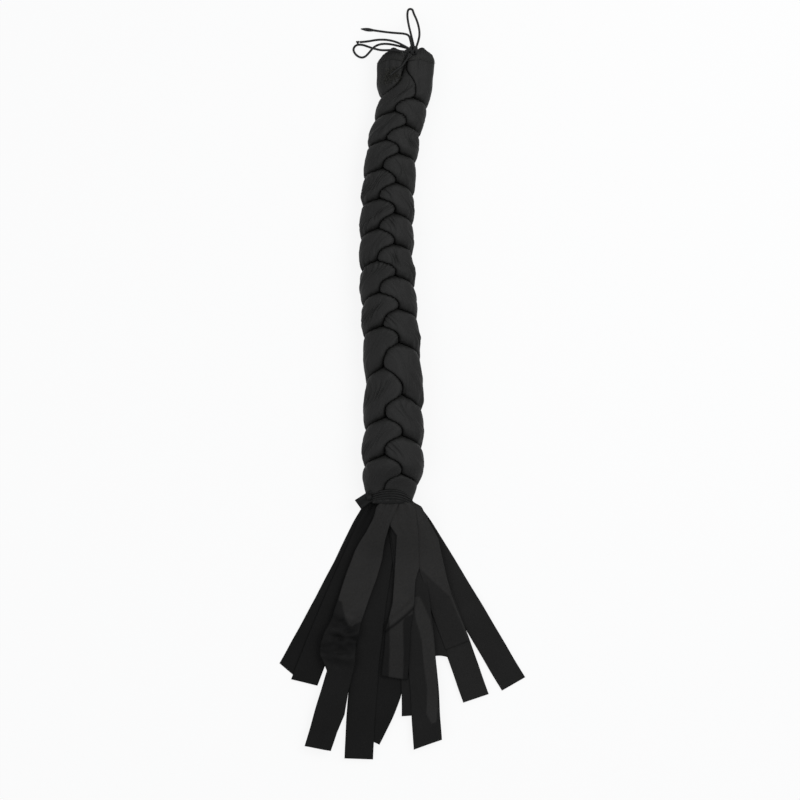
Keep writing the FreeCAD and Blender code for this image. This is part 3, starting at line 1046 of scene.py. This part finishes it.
@dataclass
class Fringe:
    """The strips, layered from the table up. Sizes in millimetres."""

    dyer: Dyer
    root_low: float = 5.15
    root_pitch: float = 2.1
    layer_pitch: float = 0.9
    fall_start: float = 14.0
    fall_end: float = 75.0
    clear: float = 4.0
    tuck: float = 7.0  # how far the roots go on under the band
    thick: float = 0.42
    row_step: float = 1.8
    columns: int = 24
    lift: float = 0.1  # the lowest layer's, off the table
    wave_height: float = 1.1
    wave_length: float = 19.0  # along a strip, for one radian
    bend: tuple[float, float] = (4.0, -34.0)  # two places along Y, from the strips' axis; not used
    strips: list[Strip] = field(default_factory=lambda: [
        Strip(-18.0, -121.0, -198.0, -5.0, 0, 0.10, cut_slant=3.0),
        Strip(12.0, 141.0, -212.0, -2.0, 1, 0.45),
        Strip(-12.0, -104.0, -210.0, 5.0, 2, 0.12, cut_slant=-2.0),
        Strip(10.0, 97.0, -228.6, -4.0, 3, 0.55),
        Strip(4.0, 49.0, -184.0, 0.0, 4, 0.40, hollow=5.0),
        Strip(2.0, -31.0, -275.5, -36.0, 5, 0.15, width=34.5, edges=(
            ROOT_EDGE, (40.0, -15.7, 15.7), (100.0, -18.0, 15.7), (125.0, -21.5, 15.7), (184.0, -22.5, 16.5),
            (226.0, -17.0, 20.0), (250.0, -15.7, 19.0), (283.0, -15.7, 16.5))),
        Strip(-4.0, -40.0, -299.0, 9.6, 6, 0.20, width=33.5),
        Strip(6.0, 26.0, -248.0, -9.0, 7, 0.30, cut_slant=-1.0),
        Strip(8.0, 40.4, -282.0, -8.0, 8, 0.35, Fall.TILTED, width=33.5, cut_slant=-5.3, lit=(
            (112.0, -1.0, 5.0), (117.0, -1.4, 7.4), (140.0, -1.9, 14.4), (164.0, 2.0, 16.5),
            (188.0, 2.1, 17.2), (222.0, 3.1, 15.0), (250.0, 1.0, 14.0), (262.0, 6.0, 12.0))),
        Strip(16.0, 76.0, -166.0, 4.0, 9, 0.5, settled=4.6, edges=(
            ROOT_EDGE, (22.5, -14.0, 16.4), (53.0, -14.0, 21.8), (77.0, -11.4, 18.5), (94.0, -12.0, 16.5),
            (119.0, -15.0, 14.0), (200.0, -15.75, 15.75)), lit=(
            (-10.0, -20.0, 30.0), (76.0, -20.0, 30.0), (77.3, -10.8, 30.0), (93.1, -2.8, 30.0),
            (122.0, 11.6, 30.0), (180.0, 13.4, 30.0))),
        Strip(12.0, 3.3, -204.0, -14.0, 10, 0.20, Fall.TURNED, edges=(
            ROOT_EDGE, (25.6, -17.5, 14.5), (38.0, -9.8, 15.5), (76.7, -12.5, 15.9), (91.2, -12.9, 11.8),
            (120.0, -14.0, 11.0), (150.0, -19.0, 10.0), (210.0, -17.0, 14.0)), lit=(
            (-10.0, -30.0, 30.0), (119.0, -30.0, 30.0), (135.0, -19.0, 2.0), (141.0, -15.5, 0.1),
            (204.0, -8.8, 8.1), (207.0, -8.5, 8.4))),
        Strip(-6.0, -88.0, -286.0, 12.0, 11, 0.22, Fall.CRUMPLED, edges=(
            ROOT_EDGE, (22.0, -8.5, 11.4), (42.0, -11.0, 12.8), (52.0, -13.4, 14.6), (66.0, -15.8, 17.5),
            (91.0, -17.0, 18.4), (126.0, -16.9, 17.1), (146.0, -18.5, 15.9), (166.0, -21.0, 17.5),
            (192.0, -21.5, 23.0), (209.0, -8.0, 22.4), (226.0, -9.0, 22.0), (255.0, -11.0, 24.0),
            (277.0, -13.0, 19.0), (300.0, -15.6, 15.6)), lit=(
            (-10.0, -30.0, 30.0), (120.0, -30.0, 30.0), (128.0, -12.0, 30.0), (146.0, -2.0, 12.0),
            (152.0, 4.0, 6.0))),
    ])

    def height(self, layer: float, radius: float) -> float:
        """A layer's height over the table, the same all the way round, so that swaying strips still nest.

        Args:
            layer: The layer, counted from the table.
            radius: The distance from the fringe's axis, in millimetres.

        Returns:
            The height, in millimetres.
        """
        fall = ease(self.fall_start, self.fall_end, radius)
        root = self.root_low + layer * self.root_pitch
        rest = layer * self.layer_pitch + self.lift
        swell = math.sin(radius / self.wave_length) * bell(radius, 150.0, 110.0)
        wave = max(0.0, self.wave_height + self.wave_height * swell)
        return mix(root, rest, fall) + wave * ease(60.0, 110.0, radius) * (1.0 - ease(180.0, 260.0, radius))

    def build_strip(self, strip: Strip) -> bpy.types.Object:
        """One strip as a sheet, shaped from a flat grid.

        Args:
            strip: The strip.

        Returns:
            The piece.
        """
        node = f"fringe_strip_{strip.layer + 1:02d}"
        arc = strip.arc()
        rows = int(arc / self.row_step)
        bm = bmesh.new()
        crease, lit = (bm.verts.layers.float.new(name) for name in ("crease", "lit"))
        cloth = bm.loops.layers.uv.new("cloth")
        bmesh.ops.create_grid(bm, x_segments=self.columns, y_segments=rows, size=1.0)
        flat = {}
        for vert in bm.verts:
            side, along = vert.co.x, mix(-self.tuck, arc, (1.0 - vert.co.y) / 2.0)
            flat[vert] = (side * strip.width * MM / 2.0, along * MM)
            place, depth = self.shape(strip, side, along)
            vert.co = place * MM
            # painted shade from the folds, and the share of the painted lit colour
            vert[crease] = depth
            vert[lit] = strip.shine(strip.offset(side, along), along)
        for face in bm.faces:
            for loop in face.loops:
                loop[cloth].uv = flat[loop.vert]
        piece = new_piece(f"strip_{strip.layer + 1:02d}", bm, self.dyer.dye(STRIP_CLOTH))
        if sum(f.normal.z for f in piece.data.polygons) < 0:
            piece.data.flip_normals()
        thick = piece.modifiers.new("cloth thickness", "SOLIDIFY")
        thick.thickness = self.thick * MM
        thick.offset = 1.0
        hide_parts(node)
        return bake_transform(piece)

    def rumple(self, strip: Strip, side: float, along: float) -> tuple[float, float, float]:
        """Folds of the strips that don't lie flat.

        Args:
            strip: The strip.
            side: Across it, -1 to 1.
            along: Along it, in millimetres.

        Returns:
            The lift and the slide to the right, in millimetres, and the painted shade there.
        """
        seed = 11.0 * (strip.layer + 1)
        if strip.fall is Fall.TURNED:
            past = along - (136.0 - 15.0 * side)
            # painted shadow under the fold's lifted edge, and darker beyond it
            return 3.0 * bell(past, -5.0, 12.0), 0.0, bell(past, 2.5, 4.5) + 0.25 * ease(0.0, 8.0, past)
        if strip.fall is Fall.CRUMPLED:
            rumpled = bell(along, 168.0, 52.0)
            wave = ripple(side * 0.9 + seed, along / 10.0, 0.4) + 0.5 * ripple(side * 2.1, along / 5.5, seed)
            lower = ease(200.0, 300.0, along)
            lift = rumpled * (4.0 + 6.0 * wave) + 1.4 * lower * (1.0 + math.sin(side * 2.2 + along / 23.0))
            slide = rumpled * 3.0 * ripple(side * 0.5, along / 22.0, 2.0)
            # painted shade in the crumple's hollows
            return lift, slide, 0.8 * rumpled * max(0.0, 0.5 - wave)
        if strip.fall is Fall.TILTED:
            return 2.2 * ease(-0.1, 0.9, side) * ease(90.0, 150.0, along), 0.0, 0.0
        return 0.0, 0.0, 0.0

    def shape(self, strip: Strip, side: float, along: float) -> tuple[Vector, float]:
        """Where a point of a strip lies.

        Args:
            strip: The strip.
            side: Across it, -1 to 1.
            along: Along it, in millimetres.

        Returns:
            The place in millimetres, in the row's frame, and the painted shade there.
        """
        share = along / strip.arc()
        middle, heading = strip.middle(share)
        across = Vector((math.cos(heading), math.sin(heading), 0.0))
        down = Vector((math.sin(heading), -math.cos(heading), 0.0))
        seed = 11.0 * (strip.layer + 1)
        lift, slide, depth = self.rumple(strip, side, along)
        lift += 0.18 * (1.0 + ripple(side * 0.9, along / 18.0, seed)) * ease(20.0, 60.0, along)
        slide += 0.5 * ripple(seed, along / 34.0, 0.0) * ease(30.0, 90.0, along)
        ravel = (strip.cut_slant * side - strip.hollow * (1.0 - side * side)) * ease(0.75, 1.0, share)
        flat = middle + across * (strip.offset(side, along) + slide) + down * ravel
        if flat.y > -self.clear:
            flat.x *= mix(1.0, 0.75, ease(-self.clear, 4.0, flat.y))
        gather = 0.5 * math.cos(side * 9.0 + seed) * (1.0 - ease(10.0, 70.0, along))
        settled = strip.layer if strip.settled is None else strip.settled
        layer = mix(strip.layer, settled, ease(0.4, 0.85, share))
        z = self.height(layer, math.hypot(flat.x, flat.y)) + lift + gather
        return Vector((flat.x, flat.y - NECK_SHIFT, max(0.05, z))), min(1.0, max(0.0, depth))

    def build(self) -> None:
        """Every strip, lowest first."""
        for strip in self.strips:
            self.build_strip(strip)
        LOG.info("laid %d fringe strips", len(self.strips))


# ---------------------------------------------------------------- the neck


@dataclass
class Neck:
    """The cloth band wound round the neck, its knot and its free end. Sizes in millimetres."""

    dyer: Dyer
    half_wide: float = 23.6
    half_high: float = 15.6
    middle: float = 17.0
    aside: float = -3.0
    folds: int = 4
    lining: float = 0.6  # the band's inner face lies this far in, above and below
    around: int = 120
    row_share: float = 0.045  # of the band's width
    core: tuple[tuple[float, float], ...] = (  # along, and the size against the band's
        (0.4, 0.3), (0.2, 0.8), (1.2, 0.95), (6.0, 0.98), (12.0, 0.98), (14.5, 0.95), (16.0, 0.8),
        (16.0, 0.3))
    core_around: int = 60
    # painted shade on the tube ends inside the band
    core_shade: float = 0.8
    tab_root: float = 7.0  # out from the knot's middle, inside the knot
    tab_length: float = 23.0
    tab_halves: tuple[float, float] = (5.4, 6.3)  # half widths at the knot and at the cut
    tab_turn: float = 35.0  # degrees
    tab_thick: float = 1.3
    tab_edge: float = 0.35

    def band_y(self, angle: float, share: float) -> float:
        """Where a point of the band lies along the bag: narrow at the sides, wide and higher up over the front.

        Args:
            angle: Where round the neck, in radians.
            share: Where across the band, from its lower edge to its upper one.

        Returns:
            The place along the plait, in millimetres.
        """
        front = max(0.0, math.sin(angle)) ** 1.2
        top = mix(6.5 - 2.0 * math.cos(angle), 17.8, front)
        return top - mix(8.0, 11.5, front) * (1.0 - share)

    def band_point(self, angle: float, share: float) -> Vector:
        """A point of the band's outer face.

        Args:
            angle: Where round the neck, in radians.
            share: Where across the band, from its lower edge to its upper one.

        Returns:
            The point, in metres in the row's frame.
        """
        fold = abs(math.sin(math.pi * self.folds * (share + 0.05 * math.sin(2.0 * angle + 3.0 * share))))
        proud = 0.4 + 2.9 * math.sqrt(fold) * math.sin(math.pi * min(1.0, max(0.0, share))) ** 0.5
        proud += 0.35 * ripple(2.0 * math.cos(angle), 2.0 * math.sin(angle), 5.0 * share)
        x = self.aside + (self.half_wide + proud) * math.cos(angle)
        z = max(0.2, self.middle + (self.half_high + proud) * math.sin(angle))
        return Vector((x, self.band_y(angle, share) - NECK_SHIFT, z)) * MM

    def build_band(self) -> bpy.types.Object:
        """The band, folded on itself and wound tight, with painted shade in the valleys of its folds and on its
        inner face.
        """
        shares = steps(0.0, 1.0, self.row_share)
        # painted shade: darkest in the valleys between the folds and on the inner face
        depth = [1.0 - abs(math.sin(math.pi * self.folds * share)) for share in shares] + [1.0] * len(shares)
        rings = []
        for angle in circle(self.around):
            x = self.half_wide * math.cos(angle) + self.aside
            z = self.middle + (self.half_high - self.lining) * math.sin(angle)
            outer = [self.band_point(angle, share) for share in shares]
            inner = [Vector((x, self.band_y(angle, share) - NECK_SHIFT, z)) * MM
                     for share in reversed(shares)]
            rings.append((outer + inner, depth))
        skin = sweep(rings)
        skin.bridge()
        return riding_piece("wound_binding", skin.bm, self.dyer, BAND_CLOTH, "bag", "neck_binding")

    def build_core(self) -> bpy.types.Object:
        """The tubes' lower ends, bunched inside the band, with painted shade all over."""
        rings = []
        for y, size in self.core:
            points = []
            for angle in circle(self.core_around):
                reach = size * (1.0 - 0.03 * (1.0 + math.cos(11.0 * angle)))
                points.append(Vector((self.half_wide * reach * math.cos(angle) + self.aside, y - NECK_SHIFT,
                                      self.middle + self.half_high * reach * math.sin(angle))) * MM)
            rings.append((points, [self.core_shade] * self.core_around))
        skin = sweep(rings)
        skin.close_end()
        skin.close_end(first=True)
        return riding_piece("bunched_tube_ends", skin.bm, self.dyer, TUBE_CLOTH, "bag", "gathered_tube_ends")

    def build_knot(self) -> bpy.types.Object:
        """The hitch that the band's end is pulled through, at its left side."""
        low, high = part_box("binding_knot")
        middle, size = (low + high) / 2.0, (high - low) / 2.0
        bm = bmesh.new()
        bm.verts.layers.float.new("crease")
        bmesh.ops.create_icosphere(bm, subdivisions=4, radius=1.0)
        for vert in bm.verts:
            unit = vert.co.normalized()
            wraps = 0.90 + 0.10 * abs(math.sin(5.0 * unit.y + 2.0 * unit.x)) ** 0.6
            wraps += 0.03 * ripple(*(unit * 3.0))
            vert.co = middle + Vector((unit.x * size.x, unit.y * size.y, unit.z * size.z)) * wraps
        return riding_piece("binding_hitch", bm, self.dyer, BAND_CLOTH, "bag", "binding_knot")

    def build_end(self) -> bpy.types.Object:
        """The band's free end: a doubled tab, cut square."""
        bm = bmesh.new()
        crease = bm.verts.layers.float.new("crease")
        bmesh.ops.create_grid(bm, x_segments=16, y_segments=16, size=1.0)
        turn = Matrix.Rotation(math.radians(self.tab_turn), 3, "Z")
        low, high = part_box("binding_knot")
        hub = (low + high) / (2.0 * MM)
        for vert in bm.verts:
            out, side = (1.0 - vert.co.x) / 2.0, vert.co.y
            arch = 1.1 * math.sin(side * 2.6) - 2.2 * out**2
            local = Vector((self.tab_root - self.tab_length * out, side * mix(*self.tab_halves, out), arch))
            # painted shade, darker towards the knot
            vert[crease] = 0.5 * (1.0 - out)
            vert.co = (hub + turn @ local) * MM
        piece = new_piece("binding_free_end", bm, self.dyer.dye(BAND_CLOTH))
        thick = piece.modifiers.new("doubled cloth", "SOLIDIFY")
        thick.thickness = self.tab_thick * MM
        thick.offset = 0.0
        round_off = piece.modifiers.new("folded edge", "BEVEL")
        round_off.width = self.tab_edge * MM
        round_off.segments = 2
        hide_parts("binding_end")
        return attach(piece, "bag")

    def build(self) -> None:
        """The whole neck."""
        self.build_band()
        self.build_core()
        self.build_knot()
        self.build_end()
        LOG.info("wound the neck")


# ---------------------------------------------------------------- the tie cord


@dataclass
class TieCord:
    """The bow at the mouths and the run of cord to its stitching.

    Sizes are in millimetres, and a cord's points are taken from the knot's middle.
    """

    dyer: Dyer
    plait: Plait
    knot: Vector = field(default_factory=lambda: Vector((23.0, 529.0 - NECK_SHIFT, 33.5)))
    sag: Vector = field(default_factory=lambda: Vector((0.8, -3.5, 0.0)))  # the knot sits between the mouths
    sag_reach: float = 48.0  # the cord settles with the knot this far out
    diameter: float = 2.6
    start: float = 5.2  # the cords leave the knot this far from its middle
    knot_size: tuple[float, float, float] = (3.3, 3.4, 2.5)
    knot_cord: float = 1.6  # radius
    end_knot_size: float = 0.62
    end_knot_cord: float = 0.972  # radius
    anchor_place: tuple[float, float] = (498.0, 82.0)  # along the left tube, and round it in degrees
    bar_stitches: int = 9
    frayed: int = 90
    fray_radius: float = 0.16
    fray_steps: int = 6

    def stretch(self, name: str, points: Sequence[Row], closed: bool) -> bpy.types.Object:
        """One stretch of cord, from the knot's surface.

        Args:
            name: The CAD node that it replaces.
            points: Its points; the first, and the last of a loop, give only a direction from the knot.
            closed: Whether it comes back to the knot.

        Returns:
            The cord.
        """
        spots = [Vector(p) for p in points]
        spots[0] = spots[0].normalized() * self.start
        if closed:
            spots[-1] = spots[-1].normalized() * self.start
        spots = [(self.knot + spot + self.sag * bell(spot.length, 0.0, self.sag_reach)) * MM
                 for spot in spots]
        piece = spline(name.replace("bow_", "tie_"), spots, self.diameter * MM, self.dyer.dye(CORD_CLOTH))
        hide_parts(name)
        return piece

    def declare(self, piece: bpy.types.Object, body: str) -> None:
        """Measure a stretch, and attach it to the body that it moves with.

        Args:
            piece: The stretch.
            body: The body that it rides.
        """
        curve_length(piece)
        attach(piece, body)

    def build_knot(self) -> bpy.types.Object:
        """The bow's knot: cord wound over itself."""
        wide, deep, high = self.knot_size

        def route(turn: float) -> Vector:
            """The wound cord's middle."""
            return Vector((wide * math.sin(2.0 * turn), deep * math.cos(3.0 * turn),
                           high * math.sin(3.0 * turn + 0.6)))

        skin = wound_cord(route, self.knot + self.sag, 150, 0.01, Vector((0.3, 0.2, 1.0)), self.knot_cord)
        return riding_piece("tie_knot", skin.bm, self.dyer, CORD_CLOTH, "bag", "bow_knot")

    def build_bow(self) -> None:
        """Both loops and both tails, with what is on the tails' ends."""
        table = self.diameter / 2.0 - self.knot.z
        loop = self.stretch("bow_loop_top", [
            (0.8, 7.4, -4.2), (-2.4, 18.0, -9.0), (-4.6, 28.0, -18.0), (-5.9, 37.0, -26.5),
            (-6.3, 44.0, table + 1.0), (-5.2, 49.9, table), (-0.2, 49.9, table), (1.2, 44.5, table),
            (4.2, 37.5, -26.0), (6.8, 28.0, -17.5), (7.6, 20.0, -10.0), (6.6, 12.5, -4.5),
            (4.8, 5.6, -1.0)], True)
        self.declare(loop, "bow_top")
        tail = self.stretch("bow_tail_top", [
            (-2.4, 5.6, -1.0), (-3.4, 11.5, -0.6), (-5.0, 16.8, -3.4), (-10.0, 18.8, -7.0),
            (-17.0, 19.6, -13.0), (-26.6, 20.8, -21.5), (-33.8, 22.6, -28.5), (-39.5, 24.0, table),
            (-46.6, 25.0, table)], False)
        tip = self.build_tip(self.knot + Vector((-46.6, 25.0, table)), Vector((-7.1, 0.8, 0.0)).normalized())
        self.declare(tail, "bow_top")
        loop = self.stretch("bow_loop_side", [
            (-6.5, 2.1, 1.4), (-18.5, 4.0, 1.6), (-28.8, 5.2, -0.2), (-37.5, 5.0, -5.0), (-45.0, 2.6, -12.0),
            (-51.0, -3.0, -22.5), (-56.0, -6.9, -30.2), (-61.5, -7.2, table), (-67.5, -3.0, table),
            (-70.0, 3.0, table), (-66.0, 8.2, table), (-58.5, 8.0, table), (-52.0, 5.6, -31.6),
            (-46.8, 2.8, -25.5), (-43.5, 0.6, -16.0), (-38.0, -2.0, -6.5), (-31.0, -2.3, -1.6),
            (-22.0, -1.0, -0.2), (-13.5, -2.0, -0.8), (-6.5, -2.1, -1.4)], True)
        self.declare(loop, "bow_side")
        tail = self.stretch("bow_tail_side", [
            (-4.6, 0.5, 4.6), (-9.5, 3.0, 6.2), (-19.5, 7.5, 4.8), (-29.5, 9.9, -2.0), (-37.5, 10.9, -11.5),
            (-44.5, 11.5, -20.5), (-52.5, 11.0, -27.4), (-62.0, 10.4, -28.0)], False)
        knob = self.build_end_knot()
        self.declare(tail, "bow_side")

    def build_tip(self, at: Vector, along: Vector) -> bpy.types.Object:
        """The top tail's end: flattened and heat-sealed to a leaf.

        Args:
            at: Where the leaf starts, in millimetres.
            along: The way it points.

        Returns:
            The piece.
        """
        side, up = Vector((-along.y, along.x, 0.0)), Vector((0.0, 0.0, 1.0))
        shape = [(-1.5, 1.30, 1.30), (0.0, 1.45, 1.2), (1.5, 1.75, 1.0), (4.0, 2.05, 0.85), (6.5, 2.1, 0.8),
                 (9.0, 1.85, 0.75), (11.5, 1.3, 0.65), (13.6, 0.7, 0.5), (14.5, 0.25, 0.25)]
        rings = []
        for far, wide, high in shape:
            ring = []
            for a in circle(24):
                groove = 1.0 - 0.28 * math.exp(-((math.cos(a) / 0.25) ** 2)) * ease(0.0, 3.0, far)
                across = side * (wide * math.cos(a)) + up * (high * groove * math.sin(a))
                ring.append((at + along * far + across) * MM)
            rings.append((ring, None))
        skin = sweep(rings)
        skin.close_end()
        skin.close_end(first=True)
        return riding_piece("sealed_cord_tip", skin.bm, self.dyer, CORD_CLOTH, "bow_top", "tail_tip")

    def build_end_knot(self) -> bpy.types.Object:
        """The side tail's overhand knot."""
        low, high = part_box("tail_end_knot")

        def route(turn: float) -> Vector:
            """The trefoil that the cord follows."""
            x = math.sin(turn) + 1.1 * math.sin(2.0 * turn)
            y = math.cos(turn) - 1.1 * math.cos(2.0 * turn)
            return Vector((x, y, -math.sin(3.0 * turn))) * self.end_knot_size

        lean = Vector((0.1, 0.3, 1.0))
        skin = wound_cord(route, (low + high) / (2.0 * MM), 60, 0.02, lean, self.end_knot_cord)
        return riding_piece("tail_overhand_knot", skin.bm, self.dyer, CORD_CLOTH, "bow_side", "tail_end_knot")

    def build_run(self) -> None:
        """The cord from its stitching to the bow, and the stitching's bar and frayed threads."""
        along, round_tube = self.anchor_place
        anchor = self.plait.point("left_tube", along, math.radians(round_tube)) / MM
        route = ((-2.5, -1.5, 1.6), (4.2, 4.4, 2.3), (11.6, 9.2, 0.8), (16.4, 17.0, -0.2))
        spots = [anchor + Vector(place) for place in route]
        spots.append(self.knot + self.sag + (spots[-1] - self.knot - self.sag).normalized() * self.start)
        cloth = self.dyer.dye(CORD_CLOTH)
        run = spline("tie_cord_to_bow", [spot * MM for spot in spots], self.diameter * MM, cloth)
        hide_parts("tie_cord_run")
        self.declare(run, "bag")
        bm = bmesh.new()
        for i in range(self.bar_stitches):
            made = bmesh.ops.create_icosphere(bm, subdivisions=2, radius=0.00052)
            place = (anchor + Vector((-3.0 + 0.75 * i, 0.6 * math.sin(i * 2.2), 0.9))) * MM
            stretch = Matrix.Diagonal((0.8, 5.2, 0.9, 1.0))
            turn = Matrix.Rotation(math.radians(14.0 if i % 2 else -12.0), 4, "Z")
            bmesh.ops.transform(bm, verts=made["verts"], matrix=Matrix.Translation(place) @ turn @ stretch)
        riding_piece("anchor_bar", bm, self.dyer, THREAD_CLOTH, "bag", "anchor_stitch")
        self.build_fray(anchor)

    def build_fray(self, anchor: Vector) -> bpy.types.Object:
        """Loose threads round the stitching.

        Args:
            anchor: The stitching's middle, in millimetres.

        Returns:
            The piece.
        """
        dice = random.Random(11)
        bm = bmesh.new()
        bm.verts.layers.float.new("crease")
        for _ in range(self.frayed):
            heading = dice.uniform(0.0, 2.0 * math.pi)
            place = anchor + Vector((dice.gauss(-1.0, 4.0), dice.gauss(-2.5, 4.2), 0.5))
            made = bmesh.ops.create_circle(bm, cap_ends=True, radius=self.fray_radius * MM, segments=5)
            ring = made["verts"]
            bmesh.ops.translate(bm, verts=ring, vec=place * MM)
            face = ring[0].link_faces[0]
            reach = dice.uniform(0.7, 1.6)
            for k in range(self.fray_steps):
                heading += dice.uniform(-0.9, 0.9)
                rise = 0.75 * math.cos(math.pi * k / self.fray_steps)
                face = bmesh.ops.extrude_discrete_faces(bm, faces=[face])["faces"][0]
                step = Vector((math.cos(heading) * reach, math.sin(heading) * reach, rise)) * MM
                bmesh.ops.translate(bm, verts=list(face.verts), vec=step)
        return riding_piece("frayed_threads", bm, self.dyer, THREAD_CLOTH, "bag")

    def build(self) -> None:
        """The whole tie."""
        self.build_knot()
        self.build_bow()
        self.build_run()
        LOG.info("tied the bow")


# ---------------------------------------------------------------- the table, the light and the camera


@dataclass
class Studio:
    """A plain pale table seen from straight above, in soft light."""

    middle: tuple[float, float] = (0.0082, 0.1098)
    height: float = 2.605
    lens: float = 100.0
    table_half: float = 6.0
    table_drop: float = 0.0004  # below the resting plane
    table_shade: float = 0.86
    lamps: tuple[tuple[str, tuple[float, float, float], float, float], ...] = (  # name, place, size, power
        ("key", (0.9, 0.7, 1.6), 1.3, 17.0), ("fill", (-1.2, -0.5, 1.7), 1.8, 8.0))
    room_shade: Shade = (0.9, 0.92, 0.95)
    room_light: float = 0.55

    def build_camera(self) -> None:
        """A camera over the middle of the bag, looking straight down."""
        data = bpy.data.cameras.new("camera")
        data.lens = self.lens
        data.sensor_width = 36.0
        camera = bpy.data.objects.new("camera", data)
        camera.location = (*self.middle, self.height)
        bpy.context.scene.collection.objects.link(camera)
        bpy.context.scene.camera = camera

    def build_table(self) -> None:
        """A white table top that fades out of sight."""
        bm = bmesh.new()
        bmesh.ops.create_grid(bm, x_segments=1, y_segments=1, size=self.table_half)
        material = bpy.data.materials.new("pale table")
        material.use_nodes = True
        make = NodeBuilder(material.node_tree)
        make.tree.nodes.clear()
        out = make.add("ShaderNodeOutputMaterial")
        path = make.add("ShaderNodeLightPath")
        matt = make.add("ShaderNodeBsdfDiffuse")
        matt.inputs["Color"].default_value = (self.table_shade, self.table_shade, self.table_shade, 1.0)
        glow = make.add("ShaderNodeEmission")
        glow.inputs["Strength"].default_value = 1.0
        blend = make.add("ShaderNodeMixShader")
        seen = make.math("MAXIMUM", path.outputs["Is Camera Ray"], path.outputs["Is Glossy Ray"])
        share = make.math("MULTIPLY", seen, self.table_shade)
        make.join(share, blend.inputs["Fac"])
        make.join(matt.outputs[0], blend.inputs[1])
        make.join(glow.outputs[0], blend.inputs[2])
        make.join(blend.outputs[0], out.inputs["Surface"])
        table = new_piece("table", bm, material, smooth=False)
        for vert in table.data.vertices:
            vert.co.z = -self.table_drop

    def build_light(self) -> None:
        """One broad lamp up and to the right, a weak one opposite, and a pale room."""
        for name, place, size, power in self.lamps:
            data = bpy.data.lights.new(name, "AREA")
            data.size = size
            data.energy = power
            lamp = bpy.data.objects.new(name, data)
            lamp.location = place
            lamp.rotation_euler = (Vector((0, 0.1, 0)) - Vector(place)).to_track_quat("-Z", "Y").to_euler()
            bpy.context.scene.collection.objects.link(lamp)
        world = bpy.data.worlds.new("room")
        world.use_nodes = True
        room = world.node_tree.nodes["Background"]
        room.inputs["Color"].default_value = (*self.room_shade, 1.0)
        room.inputs["Strength"].default_value = self.room_light
        bpy.context.scene.world = world

    def build(self) -> None:
        """The whole studio."""
        self.build_camera()
        self.build_table()
        self.build_light()
        bpy.context.scene.view_settings.view_transform = "Standard"


def main() -> None:
    """Load the frame, build every piece round it and finish."""
    logging.basicConfig(level=logging.INFO)
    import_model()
    Studio().build()
    dyer = Dyer()
    plait = Plait(dyer)
    TieCord(dyer, plait).build()
    plait.build()
    Neck(dyer).build()
    Fringe(dyer).build()


if __name__ == "__main__":
    main()
